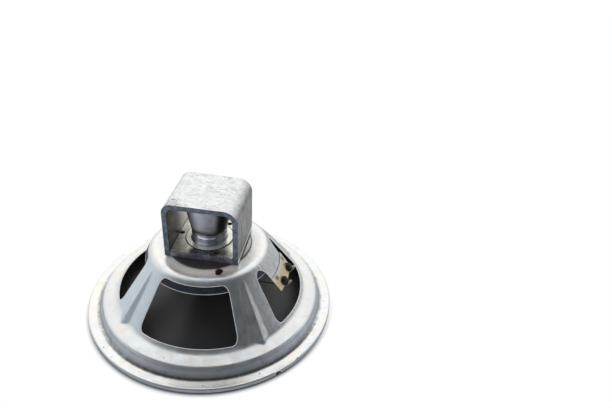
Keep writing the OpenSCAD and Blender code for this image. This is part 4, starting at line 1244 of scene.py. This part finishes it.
def lug():
    """A bent tab with an eye and rounded edges, its root along its own X and its lower face at 0."""
    head = LUG_HALF + 0.8
    neck = math.asin(LUG_HALF / head)
    plan = np.concatenate([arc_points(head, neck, 2 * math.pi - neck, 25),
                           [LUG_EYE, 0] + arc_points(LUG_HALF, -math.pi / 2, math.pi / 2, 17)])
    hole = [LUG_EYE, 0] + arc_points(LUG_HOLE_R, 0, 2 * math.pi, 25)[:-1]
    curve = bpy.data.curves.new("lug", "CURVE")
    curve.dimensions = "2D"
    curve.fill_mode = "BOTH"
    curve.extrude = (LUG_T / 2 - LUG_EDGE) * MM
    curve.bevel_depth = LUG_EDGE * MM
    curve.bevel_resolution = 1
    for ring in (plan, hole):
        spline = curve.splines.new("POLY")
        spline.points.add(len(ring) - 1)
        spline.use_cyclic_u = True
        for point, (x, y) in zip(spline.points, ring):
            point.co = (x * MM, y * MM, 0, 1)
    made = linked("lug", curve)
    cuts = bmesh.new()
    cuts.from_mesh(evaluated(made))
    bend_len = LUG_BEND_R * LUG_BEND
    for x in np.linspace(0, bend_len, 7) + LUG_BEND_X:
        parts = [*cuts.verts, *cuts.edges, *cuts.faces]
        bmesh.ops.bisect_plane(cuts, geom=parts, plane_co=(x * MM, 0, 0), plane_no=(1, 0, 0))
    cuts.verts.index_update()
    points = np.array([v.co for v in cuts.verts]) / MM
    faces = [[v.index for v in face.verts] for face in cuts.faces]
    cuts.free()
    bpy.data.objects.remove(made)
    points[:, 2] += 0.05 * lumps(points, 3, 71)
    x = points[:, 0] - LUG_BEND_X
    turn = np.clip(x / LUG_BEND_R, 0, LUG_BEND)
    past = np.maximum(x - bend_len, 0)
    arm = LUG_BEND_R - points[:, 2]
    points[:, 0] = LUG_BEND_X + np.minimum(x, 0) + arm * np.sin(turn) + past * math.cos(LUG_BEND)
    points[:, 2] = LUG_BEND_R - arm * np.cos(turn) + past * math.sin(LUG_BEND) + LUG_T / 2
    return points, faces


def varnish_lump(seed):
    points, faces = lathe(np.concatenate([[[0, 0], [2.6, 0]], dome(LUMP_R, 0, LUMP_H, 12)]), 48)
    points[:, 0] = np.where(points[:, 0] < 0, points[:, 0] * 0.85, points[:, 0])
    points, faces = rough(rough((points, faces), 2.6, 0.55, seed), 1.1, 0.2, seed + 1)
    points[:, 2] = np.maximum(points[:, 2], 0)
    return points, faces


def add_terminals(brass):
    piece("fibre_board", terminal_board(), board_fibre(), "terminal_board")
    rust = plain_metal("rusty_steel", (0.14, 0.09, 0.06), (0.42, 0.35, 0.29), 0.75, 0.3, 0.2, 1.0)
    tin = plain_metal("tinned_brass", (0.55, 0.53, 0.47), (0.86, 0.85, 0.80), 0.32)
    rivets, eyelets, lugs, joints = [], [], [], []
    for side in (-1, 1):
        rivets.append(placed(rivet(-SHEET - 0.05, BOARD_TOP + 0.05, 1.5, 2.6, 0.9),
                             on_spokes(side * BOARD_RIVET_TURN, BOARD_RIVET_R)))
        spot = side * TERMINAL_TURN, TERMINAL_R
        eyelets.append(placed(eyelet(-0.2, LUG_UP + LUG_T + 0.05, 1.5, 2.6, 0.9), on_spokes(*spot)))
        lugs.append(placed(lug(), on_spokes(*spot, LUG_UP)))
        joints.append(placed(varnish_lump(91 + side), on_spokes(*spot, LUG_UP + LUG_T + 0.05)))
    piece("board_pins", rough(merged(rivets), 1.2, 0.12, 83), rust, "board_rivets")
    piece("lug_eyelets", merged(eyelets), brass, "lug_rivets")
    piece("solder_tabs", merged(lugs), tin, "solder_lugs")
    piece("varnish_lumps", merged(joints), black_varnish(), "solder_joints")


# Camera, light and floor. The camera sees the speaker's origin at the pixel ORIGIN_PX.
IMAGE_W, IMAGE_H = 612, 408
FOCAL_PX = 568.5
CAMERA_ELEVATION_DEG = 42.78
CAMERA_AZIMUTH_DEG = 17.32
CAMERA_ROLL_DEG = 2.48
CAMERA_DISTANCE = 774.5
ORIGIN_PX = (212.6, 297.9)
SENSOR = 36.0
ROOM_LIGHT = 0.88
SCREEN_R = 1600.0
SCREEN_DARK = 0.05
SCREEN_SIDE_DEG = (30, 110)
SCREEN_TOP_DEG = (76, 100)
FLOOR_HALF = 6000.0
SHADE_DEG = -85


def add_camera():
    """The photograph's camera."""
    lift, turn, roll = (math.radians(a) for a in (CAMERA_ELEVATION_DEG, CAMERA_AZIMUTH_DEG, CAMERA_ROLL_DEG))
    spot = Vector((0, -math.cos(lift), math.sin(lift)))
    world = Matrix((Vector((1, 0, 0)), Vector((1, 0, 0)).cross(-spot), spot)).transposed()
    ray = Vector(((ORIGIN_PX[0] - IMAGE_W / 2) / FOCAL_PX, -(ORIGIN_PX[1] - IMAGE_H / 2) / FOCAL_PX, -1))
    z = -ray.normalized()
    x = Vector((0, 1, 0)).cross(z).normalized()
    y = z.cross(x)
    seen = Matrix((x * math.cos(roll) + y * math.sin(roll), y * math.cos(roll) - x * math.sin(roll), z))
    about = Matrix.Rotation(turn, 3, "Z")
    camera = linked("camera", bpy.data.cameras.new("camera"))
    camera.data.sensor_width = SENSOR
    camera.data.lens = FOCAL_PX / IMAGE_W * SENSOR
    camera.matrix_world = (Matrix.Translation(about @ spot * CAMERA_DISTANCE * MM)
                           @ (about @ world @ seen).to_4x4())
    bpy.context.scene.camera = camera


def add_lamp(name, azimuth_deg, elevation_deg, distance, size, power, seen=True):
    """A square soft lamp that faces the speaker. Azimuth counts from the camera, lengths are metres."""
    lamp = bpy.data.lights.new(name, "AREA")
    lamp.shape = "SQUARE"
    lamp.size = size
    lamp.energy = power
    obj = linked(name, lamp)
    a, e = math.radians(azimuth_deg + CAMERA_AZIMUTH_DEG), math.radians(elevation_deg)
    where = Vector((math.sin(a) * math.cos(e), -math.cos(a) * math.cos(e), math.sin(e))) * distance
    obj.matrix_world = Matrix.Translation(where) @ where.to_track_quat("Z", "Y").to_matrix().to_4x4()
    obj.visible_camera = False
    obj.visible_glossy = seen


def add_world():
    """An even world: the camera, mirrors and glass see it at full strength, and it lights at ROOM_LIGHT."""
    world = bpy.data.worlds.new("studio")
    n = Nodes(world)
    rays = n.node("ShaderNodeLightPath").outputs
    seen = n.math("MAXIMUM", rays["Is Camera Ray"], rays["Is Glossy Ray"])
    seen = n.math("MAXIMUM", seen, rays["Is Transmission Ray"])
    back = n.node("ShaderNodeBackground", {"Strength": n.range(seen, 0.0, 1.0, ROOM_LIGHT, 1.0, soft=False)})
    n.node("ShaderNodeOutputWorld", {0: back.outputs[0]})
    world.cycles.sampling_method = "NONE"
    bpy.context.scene.world = world


def add_dark_screen():
    """A dark screen around and over the photographer, seen only in gloss. It fades to the white room."""
    wide, tall = 64, 64
    aside = np.radians(np.linspace(-82, 82, wide))[:, None]
    pitch = np.radians(np.linspace(-2, 112, tall))[None, :]
    turn = math.radians(CAMERA_AZIMUTH_DEG)
    points = np.stack(np.broadcast_arrays(np.sin(aside), -np.cos(aside) * np.cos(pitch),
                                          np.cos(aside) * np.sin(pitch)), -1).reshape(-1, 3)
    made = placed((SCREEN_R * points, grid_faces(wide, tall)), Matrix.Rotation(turn, 4, "Z"))
    p = Paint("dark_screen")
    toward = p.node("ShaderNodeVectorRotate", {"Vector": p.place, "Angle": -turn}, rotation_type="Z_AXIS")
    x, y, z = p.split(toward.outputs[0])
    side_turn = p.math("ARCSINE", p.apart(p.math("DIVIDE", x, SCREEN_R)))
    top_turn = p.math("ARCTAN2", z, p.times(y, -1.0))
    glow = p.math("MAXIMUM", p.range(side_turn, *map(math.radians, SCREEN_SIDE_DEG)),
                  p.range(top_turn, *map(math.radians, SCREEN_TOP_DEG)))
    emit = p.node("ShaderNodeEmission", {"Color": p.mix(glow, (0.93, 0.95, 1.0), (0.88, 0.95, 1.0)),
                                         "Strength": p.range(glow, 0, 1, SCREEN_DARK, 1.0, soft=False)})
    p.feed(p.out.inputs[0], emit.outputs[0])
    screen = piece("dark_screen", made, p)
    screen.visible_camera = screen.visible_diffuse = screen.visible_shadow = False


def add_floor():
    """A white floor that the camera sees as white, but for a soft shade under the speaker."""
    p = Paint("floor_white", roughness=0.9, Specular_IOR_Level=0.1)
    x, y, _ = p.split()
    away = p.radius()
    shade = math.radians(SHADE_DEG)
    toward = p.plus(p.times(x, math.cos(shade)), p.times(y, math.sin(shade)))
    lit = p.range(p.math("DIVIDE", toward, away), 0.85, -0.2)
    # Painted shadow: the floor darker close to the rim, most of all in front
    contact = p.times(p.range(away, RIM_R + 5, RIM_R - 3), p.range(lit, 0.0, 1.0, 1.0, 0.0, soft=False))
    p.coat(p.mix(contact, (0.93, 0.935, 0.94), (0.26, 0.27, 0.30)))
    open_floor = p.math("MAXIMUM", p.range(away, RIM_R - 2, RIM_R + 6), p.times(lit, 0.9))
    share = p.times(p.node("ShaderNodeLightPath").outputs["Is Camera Ray"], open_floor)
    glow = p.node("ShaderNodeEmission", {"Color": (1.0, 1.0, 1.0), "Strength": 1.0})
    mixed = p.node("ShaderNodeMixShader", {0: share, 1: p.bsdf.outputs[0], 2: glow.outputs[0]})
    p.feed(p.out.inputs[0], mixed.outputs[0])
    cells = 13
    x, y = np.meshgrid(*[np.linspace(-FLOOR_HALF, FLOOR_HALF, cells)] * 2, indexing="ij")
    made = np.stack([x, y, 0 * x], -1).reshape(-1, 3), grid_faces(cells, cells)
    piece("floor", made, p)


def add_basket():
    cut_edge = plain_metal("cut_edge", (0.78, 0.80, 0.84), (0.95, 0.96, 0.97), 0.35, 0.45)
    # The lip's bottom edge is painted nearly black, as painted shade
    low_edge = plain_metal("lip_edge", (0.04, 0.04, 0.045), (0.12, 0.115, 0.11), 0.5, 0.5)
    sheet = piece("basket_sheet", basket(), [plated_steel(), cut_edge, low_edge], "basket", sharp_deg=50)
    for polygon in sheet.data.polygons:
        if polygon.material_index == 1 and polygon.center.z < (LIP_Z + 2) * MM:
            polygon.material_index = 2


def make_all():
    add_camera()
    add_world()
    add_lamp("key", -60, 60, 2.2, 1.6, 9, seen=False)
    add_lamp("sky_card", 180, 45, 2.5, 3.0, 7.5)
    add_dark_screen()
    add_floor()
    add_basket()
    fibre = gasket_fibre()
    for i in range(4):
        piece(f"fibre_arc_{i + 1}", gasket_arc(i), fibre, f"gasket_{i + 1}")
    add_suspension()
    brass = plain_metal("eyelet_brass", (0.42, 0.27, 0.09), (0.68, 0.47, 0.18), 0.34)
    add_moving(brass)
    add_motor()
    add_terminals(brass)


make_all()
bpy.context.scene.view_settings.view_transform = "Standard"
